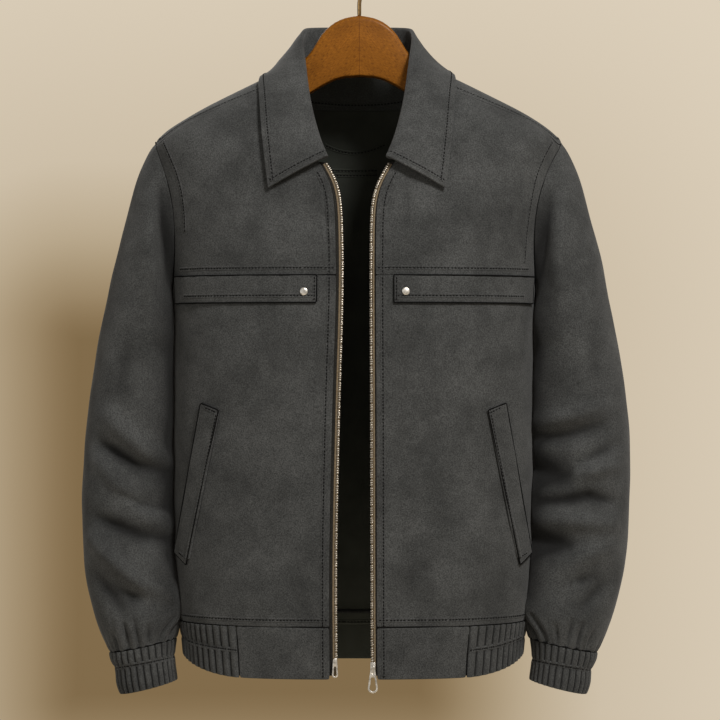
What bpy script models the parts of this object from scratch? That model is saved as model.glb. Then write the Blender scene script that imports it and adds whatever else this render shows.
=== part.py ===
"""A water-resistant jacket, hung open on a wooden hanger.

Metres, +Z up. The front faces -Y and the viewer's left is -X. The origin is the inner top of the
hanger's hook, where a rail holds it. The body of the jacket is one smooth form, given by level
sections, and every panel is a stretch of that form with a wall's thickness. A place on the form is
a height and a turn: the angle round it from the centre front, positive to the viewer's right.
"""

from bisect import bisect_right
from collections import namedtuple
from math import acos, asin, cos, pi, radians, sin

import bmesh
import bpy
from mathutils import Matrix, Vector

# Cloth and gaps
CLOTH = 0.0016
LINING = 0.0011
COLLAR_CLOTH = 0.0030
TAPE = 0.0011
SEAM_GAP = 0.0003
LAY_ON_GAP = 0.0006
COLLAR_GAP = 0.0027
RIB_HEIGHT = 0.0012

# Heights of the seams
CHEST_SEAM_Z = -0.3710
STRIP_FOOT_Z = -0.4008
HEM_SEAM_Z = -0.7525
HEM_TOP_Z = HEM_SEAM_Z - 0.0005
HEM_FOOT_Z = -0.8070
HEM_SIDE_LIFT = 0.0170
FACING_FOOT_Z = -0.1730
LINING_FOOT_Z = -0.7660
EDGE_TOP_Z = -0.2470
YOKE_TOP_Z = -0.1560
SIDE_SEAM_BENDS_Z = -0.4300

# Heights of rows of points that neighbours share
SHOULDER_ROWS = [-0.2085, -0.1905, -0.1730, YOKE_TOP_Z]
EDGE_ROWS = [-0.345, -0.318, -0.292, -0.269, EDGE_TOP_Z]
LOWER_ROWS = [-0.738, -0.705, -0.660, -0.610, -0.560, -0.510, -0.465, SIDE_SEAM_BENDS_Z]

# The form's roundness and its seams' turns
FORM_POWER = 2.4
SIDE_TURN = radians(96)
RIB_TURN = radians(37)
SEAM_TURN = 0.0012
RIBS_HEM = 26
RIBS_CUFF = 28

# Armholes: an oval hoop round each shoulder
ARMHOLE_MID_Z = -0.3075
ARMHOLE_HALF_HEIGHT = 0.0885
ARMHOLE_FRONT = 0.050
ARMHOLE_BACK = 0.055
ARMHOLE_TOP_ROW_Z = -0.2264
ARMHOLE_FOOT_Z = ARMHOLE_MID_Z - ARMHOLE_HALF_HEIGHT
SLEEVE_OFF_BODY = 0.0020
SLEEVE_PRESSED_IN = 0.0050
SLEEVE_OFF_ARMHOLE = 0.0008
SLEEVE_OFF_TIP = 0.0016

# The strips under the chest seam
STRIP_END_X = {-1: 0.0403, 1: 0.0432}
STRIP_LAST_TURN = radians(74)
STRIP_ROWS = [STRIP_FOOT_Z, ARMHOLE_FOOT_Z, -0.3920, -0.3830, CHEST_SEAM_Z - SEAM_GAP / 2]

# Zip
ZIP_REACH = {-1: 0.0078, 1: 0.0058}
TAPE_UNDER = 0.0070
TAPE_FOOT_Z = -0.8055
SLIDER_X = 0.0147
PULL_Z = -0.7945
PULL_FOOT = -0.0287
PULL_OFF_SLIDER = 0.0012

# Hanger
HANGER_HALF_DEPTH = 0.0105
HANGER_EDGE = 0.0045
HOOK_WIRE = 0.0022
HOOK_INNER = 0.0200
RIDGE_TO_HANGER = 0.0045

SIDES = {-1: "left", 1: "right"}


class Table:
    """Rows of named sizes, joined by smooth curves that never pass beyond a row's own size."""

    def __init__(self, names, rows):
        self.row_type = namedtuple("Row", names)
        rows = sorted(rows)
        self.keys = [row[0] for row in rows]
        self.columns = list(zip(*[row[1:] for row in rows]))
        self.slopes = [self.slopes_of(column) for column in self.columns]

    def slopes_of(self, column):
        steps = [b - a for a, b in zip(self.keys, self.keys[1:])]
        rises = [(b - a) / step for a, b, step in zip(column, column[1:], steps)]
        inner = [2 * a * b / (a + b) if a * b > 0 else 0.0 for a, b in zip(rises, rises[1:])]
        return [rises[0], *inner, rises[-1]]

    def at(self, key):
        low = min(max(bisect_right(self.keys, key) - 1, 0), len(self.keys) - 2)
        step = self.keys[low + 1] - self.keys[low]
        t = min(max((key - self.keys[low]) / step, 0.0), 1.0)
        values = [
            (1 + 2 * t) * (1 - t) ** 2 * column[low]
            + t * (1 - t) ** 2 * step * slope[low]
            + t * t * (3 - 2 * t) * column[low + 1]
            - t * t * (1 - t) * step * slope[low + 1]
            for column, slope in zip(self.columns, self.slopes)
        ]
        return self.row_type(key, *values)


BODY = Table(
    "z half_width front back lean",
    [
        (-0.120, 0.0620, 0.040, 0.052, 0.0000),
        (-0.134, 0.0785, 0.045, 0.056, 0.0000),
        (-0.150, 0.1115, 0.053, 0.060, 0.0000),
        (-0.167, 0.1460, 0.062, 0.066, 0.0000),
        (-0.183, 0.1780, 0.071, 0.073, 0.0000),
        (-0.200, 0.2060, 0.080, 0.081, 0.0000),
        (-0.219, 0.2280, 0.089, 0.088, -0.0008),
        (-0.251, 0.2230, 0.099, 0.097, -0.0035),
        (-0.280, 0.2170, 0.106, 0.103, -0.0045),
        (-0.309, 0.2120, 0.112, 0.108, -0.0050),
        (-0.365, 0.2050, 0.117, 0.110, -0.0055),
        (-0.397, 0.2030, 0.119, 0.109, -0.0058),
        (-0.463, 0.2025, 0.120, 0.106, -0.0062),
        (-0.530, 0.2020, 0.118, 0.103, -0.0065),
        (-0.620, 0.2020, 0.115, 0.100, -0.0068),
        (-0.700, 0.2000, 0.112, 0.098, -0.0068),
        (-0.740, 0.1980, 0.110, 0.097, -0.0068),
        (-0.764, 0.1915, 0.108, 0.096, -0.0068),
        (-0.808, 0.1886, 0.105, 0.095, -0.0068),
    ],
)

# The front edges: x of each, from the hem up to the collar's ends
FRONT_EDGE = Table(
    "z left right",
    [
        (-0.808, -0.0321, 0.0194),
        (-0.711, -0.0327, 0.0189),
        (-0.506, -0.0289, 0.0184),
        (-0.377, -0.0253, 0.0178),
        (-0.299, -0.0266, 0.0184),
        (-0.279, -0.0291, 0.0219),
        (-0.262, -0.0338, 0.0283),
        (-0.247, -0.0440, 0.0386),
    ],
)

# The neck seam in front: half its width, from the front edge up to the shoulder seam
NECK = Table(
    "z half_x",
    [(-0.247, 0.0413), (-0.225, 0.0560), (-0.200, 0.0640), (-0.178, 0.0695), (-0.156, 0.0770)],
)

# The forward shoulder seam: its distance from the middle, as a share of the form's half width
SHOULDER_SEAM = Table(
    "z share",
    [(-0.2264, 0.989), (-0.2185, 0.965), (-0.201, 0.93), (-0.187, 0.876), (-0.168, 0.75), (-0.156, 0.635)],
)

# The collar at stations from its front end, 0, to the centre back, 1: its fold and its outer edge
COLLAR = Table(
    "station fold_x fold_y fold_z edge_x edge_y edge_z",
    [
        (0.00, 0.0320, -0.1045, -0.2425, 0.0963, -0.1035, -0.2768),
        (0.12, 0.0395, -0.0925, -0.2250, 0.1010, -0.0960, -0.2400),
        (0.27, 0.0490, -0.0710, -0.1915, 0.1052, -0.0820, -0.2020),
        (0.37, 0.0535, -0.0540, -0.1680, 0.1078, -0.0500, -0.1670),
        (0.50, 0.0590, -0.0240, -0.1270, 0.1090, -0.0020, -0.1470),
        (0.60, 0.0640, 0.0050, -0.1000, 0.1000, 0.0340, -0.1490),
        (0.72, 0.0600, 0.0330, -0.0890, 0.0820, 0.0540, -0.1540),
        (0.84, 0.0380, 0.0490, -0.0862, 0.0500, 0.0660, -0.1590),
        (1.00, 0.0000, 0.0540, -0.0855, 0.0000, 0.0700, -0.1610),
    ],
)
COLLAR_LEAN = -0.0025
FOLD_RADIUS = 0.0026

# The sleeve's level rows: outer point, height of the inner point, half its depth front to back,
# the depth of its middle, how far it stands off the body, its lean, and its share of an oval ring
SLEEVE = Table(
    "row out_x out_z in_z depth mid_y off lean oval",
    [
        (0, 0.2261, -0.2188, -0.3958, 0.0525, 0.0025, 0.000, -0.0005, 0.00),
        (1, 0.2360, -0.2390, -0.3992, 0.0560, 0.0022, 0.000, -0.0006, 0.15),
        (2, 0.2450, -0.2592, -0.4036, 0.0590, 0.0020, 0.000, -0.0007, 0.32),
        (3, 0.2550, -0.2916, -0.4104, 0.0615, 0.0015, 0.000, -0.0008, 0.52),
        (4, 0.2649, -0.3264, -0.4204, 0.0625, 0.0010, 0.000, -0.0009, 0.72),
        (5, 0.2748, -0.3644, -0.4339, 0.0620, 0.0005, 0.000, -0.0010, 0.88),
        (6, 0.2825, -0.4014, -0.4518, 0.0610, 0.0000, 0.000, -0.0012, 0.97),
        (7, 0.2912, -0.4440, -0.4764, 0.0595, -0.0005, 0.000, -0.0014, 1.00),
        (8, 0.2979, -0.4854, -0.5056, 0.0580, -0.0010, 0.000, -0.0015, 1.00),
        (9, 0.3033, -0.5280, -0.5392, 0.0570, -0.0020, 0.000, -0.0017, 1.00),
        (10, 0.3064, -0.5694, -0.5750, 0.0560, -0.0030, 0.000, -0.0025, 1.00),
        (11, 0.3069, -0.6108, -0.6120, 0.0550, -0.0050, 0.000, -0.0037, 1.00),
        (12, 0.3055, -0.6534, -0.6500, 0.0540, -0.0070, 0.000, -0.0045, 1.00),
        (13, 0.3017, -0.6960, -0.6881, 0.0525, -0.0090, 0.000, -0.0055, 1.00),
        (14, 0.2949, -0.7352, -0.7240, 0.0500, -0.0110, 0.000, -0.0056, 1.00),
        (15, 0.2855, -0.7665, -0.7508, 0.0455, -0.0125, 0.005, -0.0055, 1.00),
        (16, 0.2744, -0.7878, -0.7721, 0.0385, -0.0135, 0.013, -0.0055, 1.00),
    ],
)
SLEEVE_ROWS = [0, 0.45, 1, 1.6, 2.3, 3.2, 4.2, 5.2, 6.2, 7.2, 8.1, 8.8, 9.3, 9.8, 10.3, 10.8]
SLEEVE_ROWS += [11.3, 11.8, 12.3, 12.8, 13.3, 13.8, 14.4, 15, 15.5, 16]
SLEEVE_COLUMNS = 22

# The sleeves' largest folds, as troughs pressed into the tube from one place to another: the row
# and the turn round the sleeve (0 its outer side, 90 its front) at each end, depth and half breadth
Fold = namedtuple("Fold", "row_a turn_a row_b turn_b depth breadth")
FOLDS = {
    -1: [
        Fold(9.7, 60, 10.6, 140, 0.0070, 0.0130),
        Fold(11.0, 75, 11.6, 150, 0.0060, 0.0110),
        Fold(11.8, 60, 12.4, 130, 0.0065, 0.0120),
        Fold(13.5, 60, 13.9, 120, 0.0050, 0.0110),
        Fold(10.4, 250, 11.4, 320, 0.0060, 0.0130),
        Fold(12.2, 230, 12.9, 300, 0.0055, 0.0120),
        Fold(1.0, 95, 4.6, 128, 0.0070, 0.0160),
    ],
    1: [
        Fold(9.2, 60, 9.7, 145, 0.0065, 0.0130),
        Fold(10.3, 105, 10.8, 150, 0.0055, 0.0120),
        Fold(11.2, 55, 11.4, 130, 0.0065, 0.0110),
        Fold(12.3, 95, 12.6, 145, 0.0055, 0.0120),
        Fold(13.3, 50, 13.7, 110, 0.0050, 0.0110),
        Fold(9.9, 230, 10.9, 310, 0.0060, 0.0130),
        Fold(12.0, 250, 12.6, 320, 0.0055, 0.0120),
        Fold(1.0, 95, 4.6, 128, 0.0070, 0.0160),
    ],
}

# The cuff: outer and inner points of its rings, half depth, and how far the ribs stand proud there
CUFF = Table(
    "row out_x out_z in_x in_z depth ribs",
    [
        (0, 0.2744, -0.7882, 0.2004, -0.7725, 0.0375, 0.35),
        (1, 0.2725, -0.7975, 0.2030, -0.7845, 0.0372, 1.00),
        (2, 0.2664, -0.8076, 0.2028, -0.7956, 0.0352, 0.10),
        (3, 0.2668, -0.8210, 0.2020, -0.8075, 0.0362, 1.00),
        (4, 0.2622, -0.8344, 0.1998, -0.8186, 0.0345, 0.40),
    ],
)
CUFF_LEAN = -0.0058
CUFF_MID_Y = -0.0140

# The hanger in the plane of the shoulders: its dome and its arched lower edge, half of each
DOME = [(0.0, -0.0780), (0.0180, -0.0812), (0.0340, -0.0905), (0.0450, -0.1035), (0.0560, -0.1215)]
ARCH = [(0.1960, -0.2280), (0.1600, -0.2200), (0.1150, -0.2010), (0.0800, -0.1800), (0.0540, -0.1640)]
ARCH += [(0.0280, -0.1495), (0.0, -0.1430)]
ARM_XS = [0.0850, 0.1150, 0.1500, 0.1800, 0.1960]

COLOURS = {
    "cloth": ((0.070, 0.070, 0.067), 0.85, 0.0),
    "lining": ((0.012, 0.013, 0.012), 0.80, 0.0),
    "tape": ((0.280, 0.240, 0.180), 0.80, 0.0),
    "metal": ((0.640, 0.560, 0.430), 0.30, 1.0),
    "wood": ((0.300, 0.110, 0.025), 0.40, 0.0),
    "brass": ((0.560, 0.370, 0.140), 0.30, 1.0),
}


# ---- Places on the form ----


def body_point(turn, z):
    size = BODY.at(z)
    power = 2 / FORM_POWER
    depth = size.front if cos(turn) > 0 else size.back
    x = abs(sin(turn)) ** power * size.half_width * (1 if sin(turn) > 0 else -1)
    y = abs(cos(turn)) ** power * depth * (-1 if cos(turn) > 0 else 1)
    return Vector((size.lean + x, y, z))


def body_normal(turn, z):
    turn_step, height_step = 0.01, 0.001
    across = body_point(turn + turn_step, z) - body_point(turn - turn_step, z)
    rise = body_point(turn, z + height_step) - body_point(turn, z - height_step)
    return across.cross(rise).normalized()


def off_body(turn, z, out):
    """The place moved out from the form by out, or in where out is negative."""
    return body_point(turn, z) + body_normal(turn, z) * out


def turn_of_share(share):
    """The turn in front of the side where x is this share of the half width."""
    return asin(min(share, 1.0) ** (FORM_POWER / 2))


def turn_of_half_x(half_x, z):
    return turn_of_share(half_x / BODY.at(z).half_width)


def turn_of_depth(y, z):
    """The turn where the form has this depth, in front of the side or behind it."""
    size = BODY.at(z)
    share = abs(y) / (size.front if y < 0 else size.back)
    in_front = acos(min(share, 1.0) ** (FORM_POWER / 2))
    return in_front if y < 0 else pi - in_front


def armhole_place(angle):
    """(turn, z) on the armhole's hoop: angle 0 is the shoulder's tip, 90 degrees its front."""
    z = ARMHOLE_MID_Z + ARMHOLE_HALF_HEIGHT * cos(angle)
    reach = ARMHOLE_FRONT if sin(angle) > 0 else ARMHOLE_BACK
    return turn_of_depth(-reach * sin(angle), z), z


def armhole_angle(z):
    return acos(min(max((z - ARMHOLE_MID_Z) / ARMHOLE_HALF_HEIGHT, -1.0), 1.0))


def clear_of_body(point, gap):
    """The point, moved out where it needs it so that it stands gap off the form."""

    def level(at):
        size = BODY.at(at.z)
        depth = size.front if at.y < 0 else size.back
        wide = (abs(at.x - size.lean) / size.half_width) ** FORM_POWER
        return (wide + (abs(at.y) / depth) ** FORM_POWER) ** (1 / FORM_POWER) - 1

    step = 0.0005
    for _ in range(4):
        slopes = [level(point + axis * step) - level(point - axis * step) for axis in Matrix.Identity(3)]
        slope = Vector(slopes) / (2 * step)
        short = gap - level(point) / slope.length
        if short > 0:
            point = point + slope.normalized() * short
    return point


# ---- Walls ----


def link(obj, material):
    COLLECTION.objects.link(obj)
    obj.data.materials.append(MATERIALS[material])
    return obj


def wall(name, outer, inner, material, ring=False):
    """A closed sheet between two grids of points. With ring, its last column meets its first."""
    mesh = bmesh.new()
    grids = [[[mesh.verts.new(point) for point in row] for row in grid] for grid in (outer, inner)]
    rows, columns = len(outer), len(outer[0])
    spans = columns if ring else columns - 1
    for grid, face_out in zip(grids, (True, False)):
        for low, high in zip(grid, grid[1:]):
            for j in range(spans):
                k = (j + 1) % columns
                corners = [low[j], low[k], high[k], high[j]]
                mesh.faces.new(corners if face_out else corners[::-1])
    for outer_rim, inner_rim in ((grids[0][0], grids[1][0]), (grids[0][-1], grids[1][-1])):
        for j in range(spans):
            k = (j + 1) % columns
            mesh.faces.new([outer_rim[j], outer_rim[k], inner_rim[k], inner_rim[j]])
    if not ring:
        for j in (0, -1):
            for i in range(rows - 1):
                mesh.faces.new([grids[0][i][j], grids[0][i + 1][j], grids[1][i + 1][j], grids[1][i][j]])
    bmesh.ops.recalc_face_normals(mesh, faces=mesh.faces)
    data = bpy.data.meshes.new(name)
    mesh.to_mesh(data)
    mesh.free()
    data.shade_smooth()
    data.set_sharp_from_angle(angle=radians(50))
    return link(bpy.data.objects.new(name, data), material)


def shell_on_body(name, places, face_out, thickness, material, ribs=None):
    """A wall over a grid of (turn, z) places, from face_out inwards. ribs raises its outer points."""
    raised = ribs or [[0.0] * len(row) for row in places]
    outer = [
        [off_body(turn, z, face_out + rise) for (turn, z), rise in zip(row, rises)]
        for row, rises in zip(places, raised)
    ]
    inner = [[off_body(turn, z, face_out - thickness) for turn, z in row] for row in places]
    return wall(name, outer, inner, material)


def spread(a, b, count):
    return [a + (b - a) * i / (count - 1) for i in range(count)]


def mix(a, b, t):
    return a + (b - a) * t


# ---- The body's panels ----


def edge_turn(side, z):
    """The turn of the front edge, a positive angle on both sides."""
    edge = FRONT_EDGE.at(z)
    x = edge.left if side < 0 else edge.right
    return turn_of_half_x(abs(x - BODY.at(z).lean), z)


def side_turn(z):
    """The side seam's turn: it bends forward to the armhole's lowest point."""
    bent = (z - SIDE_SEAM_BENDS_Z) / (ARMHOLE_FOOT_Z - SIDE_SEAM_BENDS_Z)
    return mix(SIDE_TURN, pi / 2, min(max(bent, 0.0), 1.0))


def front_outer_turn(z):
    """Where a front ends: at the side seam, above it at the armhole, and last at the shoulder seam."""
    if z <= ARMHOLE_FOOT_Z:
        return side_turn(z) - SEAM_TURN
    if z <= ARMHOLE_TOP_ROW_Z:
        return armhole_place(armhole_angle(z))[0] - SEAM_TURN
    return turn_of_share(SHOULDER_SEAM.at(z).share) - SEAM_TURN


def lower_front_row(side, z):
    """The places of the lower front's columns: its edge, the strip's two ends and evenly between
    them, and two out to the side."""
    first, last = turn_of_half_x(STRIP_END_X[side], z), front_outer_turn(z)
    turns = [edge_turn(side, z), *spread(first, STRIP_LAST_TURN, 8), mix(STRIP_LAST_TURN, last, 0.5), last]
    return [(side * turn, z) for turn in turns]


def build_yoke(side):
    places = []
    for z in [CHEST_SEAM_Z + SEAM_GAP / 2, *EDGE_ROWS, ARMHOLE_TOP_ROW_Z, *SHOULDER_ROWS]:
        inner = edge_turn(side, z) if z <= EDGE_TOP_Z else turn_of_half_x(NECK.at(z).half_x, z)
        places.append([(side * turn, z) for turn in spread(inner, front_outer_turn(z), 10)])
    shell_on_body(f"front_yoke_{SIDES[side]}", places, 0.0, CLOTH, "cloth")


def build_lower_front(side):
    heights = [HEM_SEAM_Z + SEAM_GAP / 2, *LOWER_ROWS, *STRIP_ROWS]
    places = [lower_front_row(side, z) for z in heights]
    shell_on_body(f"front_body_{SIDES[side]}", places, 0.0, CLOTH, "cloth")


def build_chest_strip(side):
    """The strip lies on the lower front and takes its columns between the strip's two ends."""
    places = [lower_front_row(side, z)[1:9] for z in STRIP_ROWS]
    shell_on_body(f"chest_strip_{SIDES[side]}", places, LAY_ON_GAP + CLOTH, CLOTH, "cloth")


def build_welt(side):
    """A narrow slanted flap over the hand pocket, laid on the lower front."""
    outer_edge = [(0.1965, -0.6760), (0.1660, -0.5100)]
    inner_edge = [(0.1827, -0.6880), (0.1460, -0.5175)]
    places = []
    for t in spread(0, 1, 11):
        row = []
        for s in spread(0, 1, 4):
            ends = [[mix(i, o, s) for i, o in zip(inner_edge[k], outer_edge[k])] for k in (0, 1)]
            half_x, z = (mix(foot, top, t) for foot, top in zip(*ends))
            row.append((side * turn_of_half_x(half_x, z), z))
        places.append(row)
    shell_on_body(f"pocket_welt_{SIDES[side]}", places, LAY_ON_GAP + CLOTH, CLOTH, "cloth")


# Rows of the back: the height and the turn where they end, the height at the centre back, and how
# late the row leaves the centre's height for its end's
BackRow = namedtuple("BackRow", "end_turn end_z mid_z late")


def back_rows():
    rows = []
    for z in [HEM_SEAM_Z + SEAM_GAP / 2, *LOWER_ROWS, STRIP_FOOT_Z]:
        rows.append(BackRow(side_turn(z) + SEAM_TURN, z, z, 3))
    for degrees in (180, 145, 118, 92, 68, 46, 26):
        turn, z = armhole_place(-radians(degrees))
        rows.append(BackRow(turn + SEAM_TURN, z, z, 3))
    tip_turn, tip_z = armhole_place(0)
    rows.append(BackRow(tip_turn, tip_z - 0.0002, -0.2165, 3))
    heights_at_back = [(-0.2060, 12), (-0.1940, 5), (-0.1790, 4), (-0.1580, 3), (-0.1330, 3)]
    for end_z, (mid_z, late) in zip([ARMHOLE_TOP_ROW_Z, *SHOULDER_ROWS], heights_at_back):
        end_turn = turn_of_share(SHOULDER_SEAM.at(end_z).share) + SEAM_TURN
        rows.append(BackRow(end_turn, end_z, mid_z, late))
    return rows


def across_back(row, v):
    """The place on a row of the back, from v = -1 at its left end to 1 at its right one."""
    z = mix(row.mid_z, row.end_z, abs(v) ** row.late)
    return pi - v * (pi - row.end_turn), z


def build_back():
    places = [[across_back(row, v) for v in spread(-1, 1, 25)] for row in back_rows()]
    shell_on_body("back_panel", places, 0.0, CLOTH, "cloth")


def build_lining():
    """The lining hangs inside the back, and the facing closes it at the neck."""
    depth_in = -0.0045
    rows = [(LINING_FOOT_Z, 104), (-0.700, 104), (-0.620, 104), (-0.540, 104), (-0.460, 104), (-0.410, 106)]
    rows += [(-0.360, 121), (-0.310, 126), (-0.260, 122), (-0.220, 112), (-0.196, 108), (FACING_FOOT_Z, 106)]
    places = []
    for z, end in rows:
        sag = 0.0035 if z == FACING_FOOT_Z else 0.0
        turns = spread(radians(end), radians(360 - end), 13)
        places.append([(turn, z - sag * cos(turn) ** 8 - SEAM_GAP) for turn in turns])
    shell_on_body("lining_back", places, depth_in, LINING, "lining")
    facing = []
    for z in (FACING_FOOT_Z, -0.156, -0.1405):
        sag = 0.0035 if z == FACING_FOOT_Z else 0.0
        turns = spread(radians(106), radians(254), 13)
        facing.append([(turn, z - sag * cos(turn) ** 8) for turn in turns])
    shell_on_body("neck_facing", facing, depth_in, LINING, "lining")


# ---- Hem ----


def hem_foot(turn):
    """The hem's lower edge: the elastic lifts it at the sides."""
    return HEM_FOOT_Z + HEM_SIDE_LIFT * abs(sin(turn)) ** 8


def hem_places(turns, levels):
    return [[(turn, mix(HEM_TOP_Z, hem_foot(turn), level)) for turn in turns] for level in levels]


def build_hem():
    levels = (0, 0.5, 1)
    for side, word in SIDES.items():
        places = []
        for level in levels:
            edge = edge_turn(side, mix(HEM_TOP_Z, HEM_FOOT_Z, level))
            turns = spread(edge, RIB_TURN - SEAM_TURN, 8)
            places += hem_places([side * turn for turn in turns], [level])
        shell_on_body(f"hem_front_{word}", places, 0.0, CLOTH, "cloth")
        turns = spread(side * (RIB_TURN + SEAM_TURN), side * (pi - RIB_TURN - SEAM_TURN), 2 * RIBS_HEM + 1)
        heights = [RIB_HEIGHT * share for share in (0.5, 0.6, 0.5)]
        ribs = [[height * (j % 2) for j in range(len(turns))] for height in heights]
        shell_on_body(f"hem_rib_{word}", hem_places(turns, levels), 0.0, CLOTH, "cloth", ribs)
    turns = spread(pi - RIB_TURN + SEAM_TURN, pi + RIB_TURN - SEAM_TURN, 15)
    shell_on_body("hem_back", hem_places(turns, levels), 0.0, CLOTH, "cloth")


# ---- Collar ----


def neck_seam(station):
    """(turn, z) along the neck's edge, from the front end, station 0, to the centre back, 1."""
    at_shoulder = 0.42
    if station <= at_shoulder:
        z = mix(EDGE_TOP_Z, YOKE_TOP_Z, station / at_shoulder)
        return turn_of_half_x(NECK.at(z).half_x, z), z
    row = back_rows()[-1]
    v = 1 - (station - at_shoulder) / (1 - at_shoulder)
    return across_back(row, v)


def collar_column(side, station):
    """The middle of the sheet from the neck seam, up the stand, over the fold and down the fall."""
    off_neck = 0.0042
    turn, z = neck_seam(station)
    row = COLLAR.at(station)
    fold = Vector((row.fold_x, row.fold_y, row.fold_z))
    edge = Vector((row.edge_x, row.edge_y, row.edge_z))
    body_lean = Vector((BODY.at(z).lean, 0, 0))
    neck = body_point(turn, z) - body_lean
    neck += (fold - neck).normalized() * off_neck
    up = (fold - (neck + edge) / 2).normalized()
    normal = body_normal(turn, z)
    across = (normal - up * normal.dot(up)).normalized()
    centre = fold - up * FOLD_RADIUS
    points = [neck, mix(neck, centre - across * FOLD_RADIUS, 0.55)]
    for angle in (0, 50, 90, 130, 180):
        arm = across * -cos(radians(angle)) + up * sin(radians(angle))
        points.append(centre + arm * FOLD_RADIUS)
    start = points[-1]
    for t in (0.25, 0.5, 0.75, 1.0):
        bulge = across * (0.0030 * sin(pi * t))
        points.append(mix(start, edge, t) + bulge)
    collar_lean = Vector((COLLAR_LEAN, 0, 0))
    placed = []
    for i, point in enumerate(points):
        lean = mix(body_lean, collar_lean, min(1.0, i / 2))
        point = Vector((side * point.x, point.y, point.z)) + lean
        placed.append(clear_of_body(point, COLLAR_CLOTH / 2 + COLLAR_GAP) if i > 6 else point)
    return placed


def grid_normals(grid):
    """Unit normals of a grid of points, by the differences of each point's neighbours."""
    rows, columns = len(grid), len(grid[0])
    normals = []
    for i in range(rows):
        row = []
        for j in range(columns):
            along = grid[min(i + 1, rows - 1)][j] - grid[max(i - 1, 0)][j]
            across = grid[i][min(j + 1, columns - 1)] - grid[i][max(j - 1, 0)]
            row.append(across.cross(along).normalized())
        normals.append(row)
    return normals


def build_collar():
    stations = spread(0, 1, 17)
    columns = [collar_column(-1, s) for s in stations] + [collar_column(1, s) for s in stations[-2::-1]]
    middle = [list(row) for row in zip(*columns)]
    normals = grid_normals(middle)
    half = COLLAR_CLOTH / 2
    outer, inner = (
        [[point + normal * out for point, normal in zip(*rows)] for rows in zip(middle, normals)]
        for out in (half, -half)
    )
    wall("collar", outer, inner, "cloth")


# ---- Sleeves and cuffs ----


def oval(row, side, angle, in_x):
    """A point of a slanting oval: angle 0 is its outer point, 90 degrees its front."""
    out = Vector((side * row.out_x, 0, row.out_z))
    inside = Vector((in_x, 0, row.in_z))
    reach = (out - inside) / 2
    middle = (out + inside) / 2
    return middle + reach * cos(angle) + Vector((0, -row.depth * sin(angle), 0))


def armhole_point(side, angle):
    turn, z = armhole_place(angle)
    out = SLEEVE_OFF_ARMHOLE + SLEEVE_OFF_TIP * max(0.0, cos(angle)) ** 4
    return body_point(side * turn, z) + Vector((side * out, 0, 0))


def sleeve_ring_point(side, row_at, angle):
    """A point of the sleeve with no folds: an armhole hoop at its top that turns into ovals."""
    row, first = SLEEVE.at(row_at), SLEEVE.at(0)

    def placed(level):
        body = BODY.at(level.in_z)
        in_x = body.lean + side * (body.half_width - SLEEVE_PRESSED_IN + level.off) - level.lean
        point = oval(level, side, angle, in_x)
        return point + Vector((level.lean, level.mid_y, 0))

    return placed(row) + (armhole_point(side, angle) - placed(first)) * (1 - row.oval)


def fold_depth(side, row_at, angle):
    """How far the folds press the sleeve in at a place, in metres."""
    row_length, turn_length = 0.038, 0.055
    depth = 0.0
    for fold in FOLDS[side]:
        start = Vector((fold.row_a * row_length, radians(fold.turn_a) * turn_length))
        end = Vector((fold.row_b * row_length, radians(fold.turn_b) * turn_length))
        place = Vector((row_at * row_length, (angle % (2 * pi)) * turn_length))
        line = end - start
        t = min(max((place - start).dot(line) / line.length_squared, 0.0), 1.0)
        off = (place - start - line * t).length / fold.breadth
        depth += fold.depth / (1 + off**2) ** 2
    return depth


def ring_shells(rows, columns, point_at, rise_at, thickness):
    """Outer and inner grids of a tube. rise_at moves the outer points out from the tube."""
    angles = [2 * pi * j / columns for j in range(columns)]
    step_row, step_angle = 0.05, 0.05
    outer, inner = [], []
    for row in rows:
        outer_row, inner_row = [], []
        for j, angle in enumerate(angles):
            point = point_at(row, angle)
            below, above = min(row + step_row, rows[-1]), max(row - step_row, rows[0])
            down = point_at(below, angle) - point_at(above, angle)
            around = point_at(row, angle + step_angle) - point_at(row, angle - step_angle)
            normal = down.cross(around).normalized()
            if normal.dot(point - point_at(row, angle + pi)) < 0:
                normal.negate()
            outer_row.append(point + normal * rise_at(row, angle, j))
            inner_row.append(point - normal * thickness)
        outer.append(outer_row)
        inner.append(inner_row)
    return outer, inner


def build_sleeve(side):
    def folded(row, angle):
        point = sleeve_ring_point(side, row, angle)
        middle = (sleeve_ring_point(side, row, 0) + sleeve_ring_point(side, row, pi)) / 2
        inwards = (middle - point).normalized()
        end_fade = min(1.0, row / 1.5) * min(1.0, (SLEEVE_ROWS[-1] - row) / 1.0)
        point += inwards * fold_depth(side, row, angle) * end_fade
        return clear_of_body(point, SLEEVE_OFF_BODY * min(1.0, 0.4 + row)) if row > 0 else point

    outer, inner = ring_shells(SLEEVE_ROWS, SLEEVE_COLUMNS, folded, lambda row, angle, j: 0.0, CLOTH)
    wall(f"sleeve_{SIDES[side]}", outer, inner, "cloth", ring=True)


def build_cuff(side):
    def cuff_point(row_at, angle):
        row = CUFF.at(row_at)
        point = oval(row, side, angle, side * row.in_x)
        return point + Vector((CUFF_LEAN, CUFF_MID_Y, -SEAM_GAP))

    def rib(row, angle, j):
        return RIB_HEIGHT * CUFF.at(row).ribs * (j % 2)

    outer, inner = ring_shells([0, 1, 2, 3, 4], 2 * RIBS_CUFF, cuff_point, rib, CLOTH)
    wall(f"cuff_{SIDES[side]}", outer, inner, "cloth", ring=True)


# ---- Zip ----


def zip_line(side, z):
    """x of the row of teeth on one tape."""
    edge = FRONT_EDGE.at(z)
    return (edge.left if side < 0 else edge.right) - side * ZIP_REACH[side]


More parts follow.
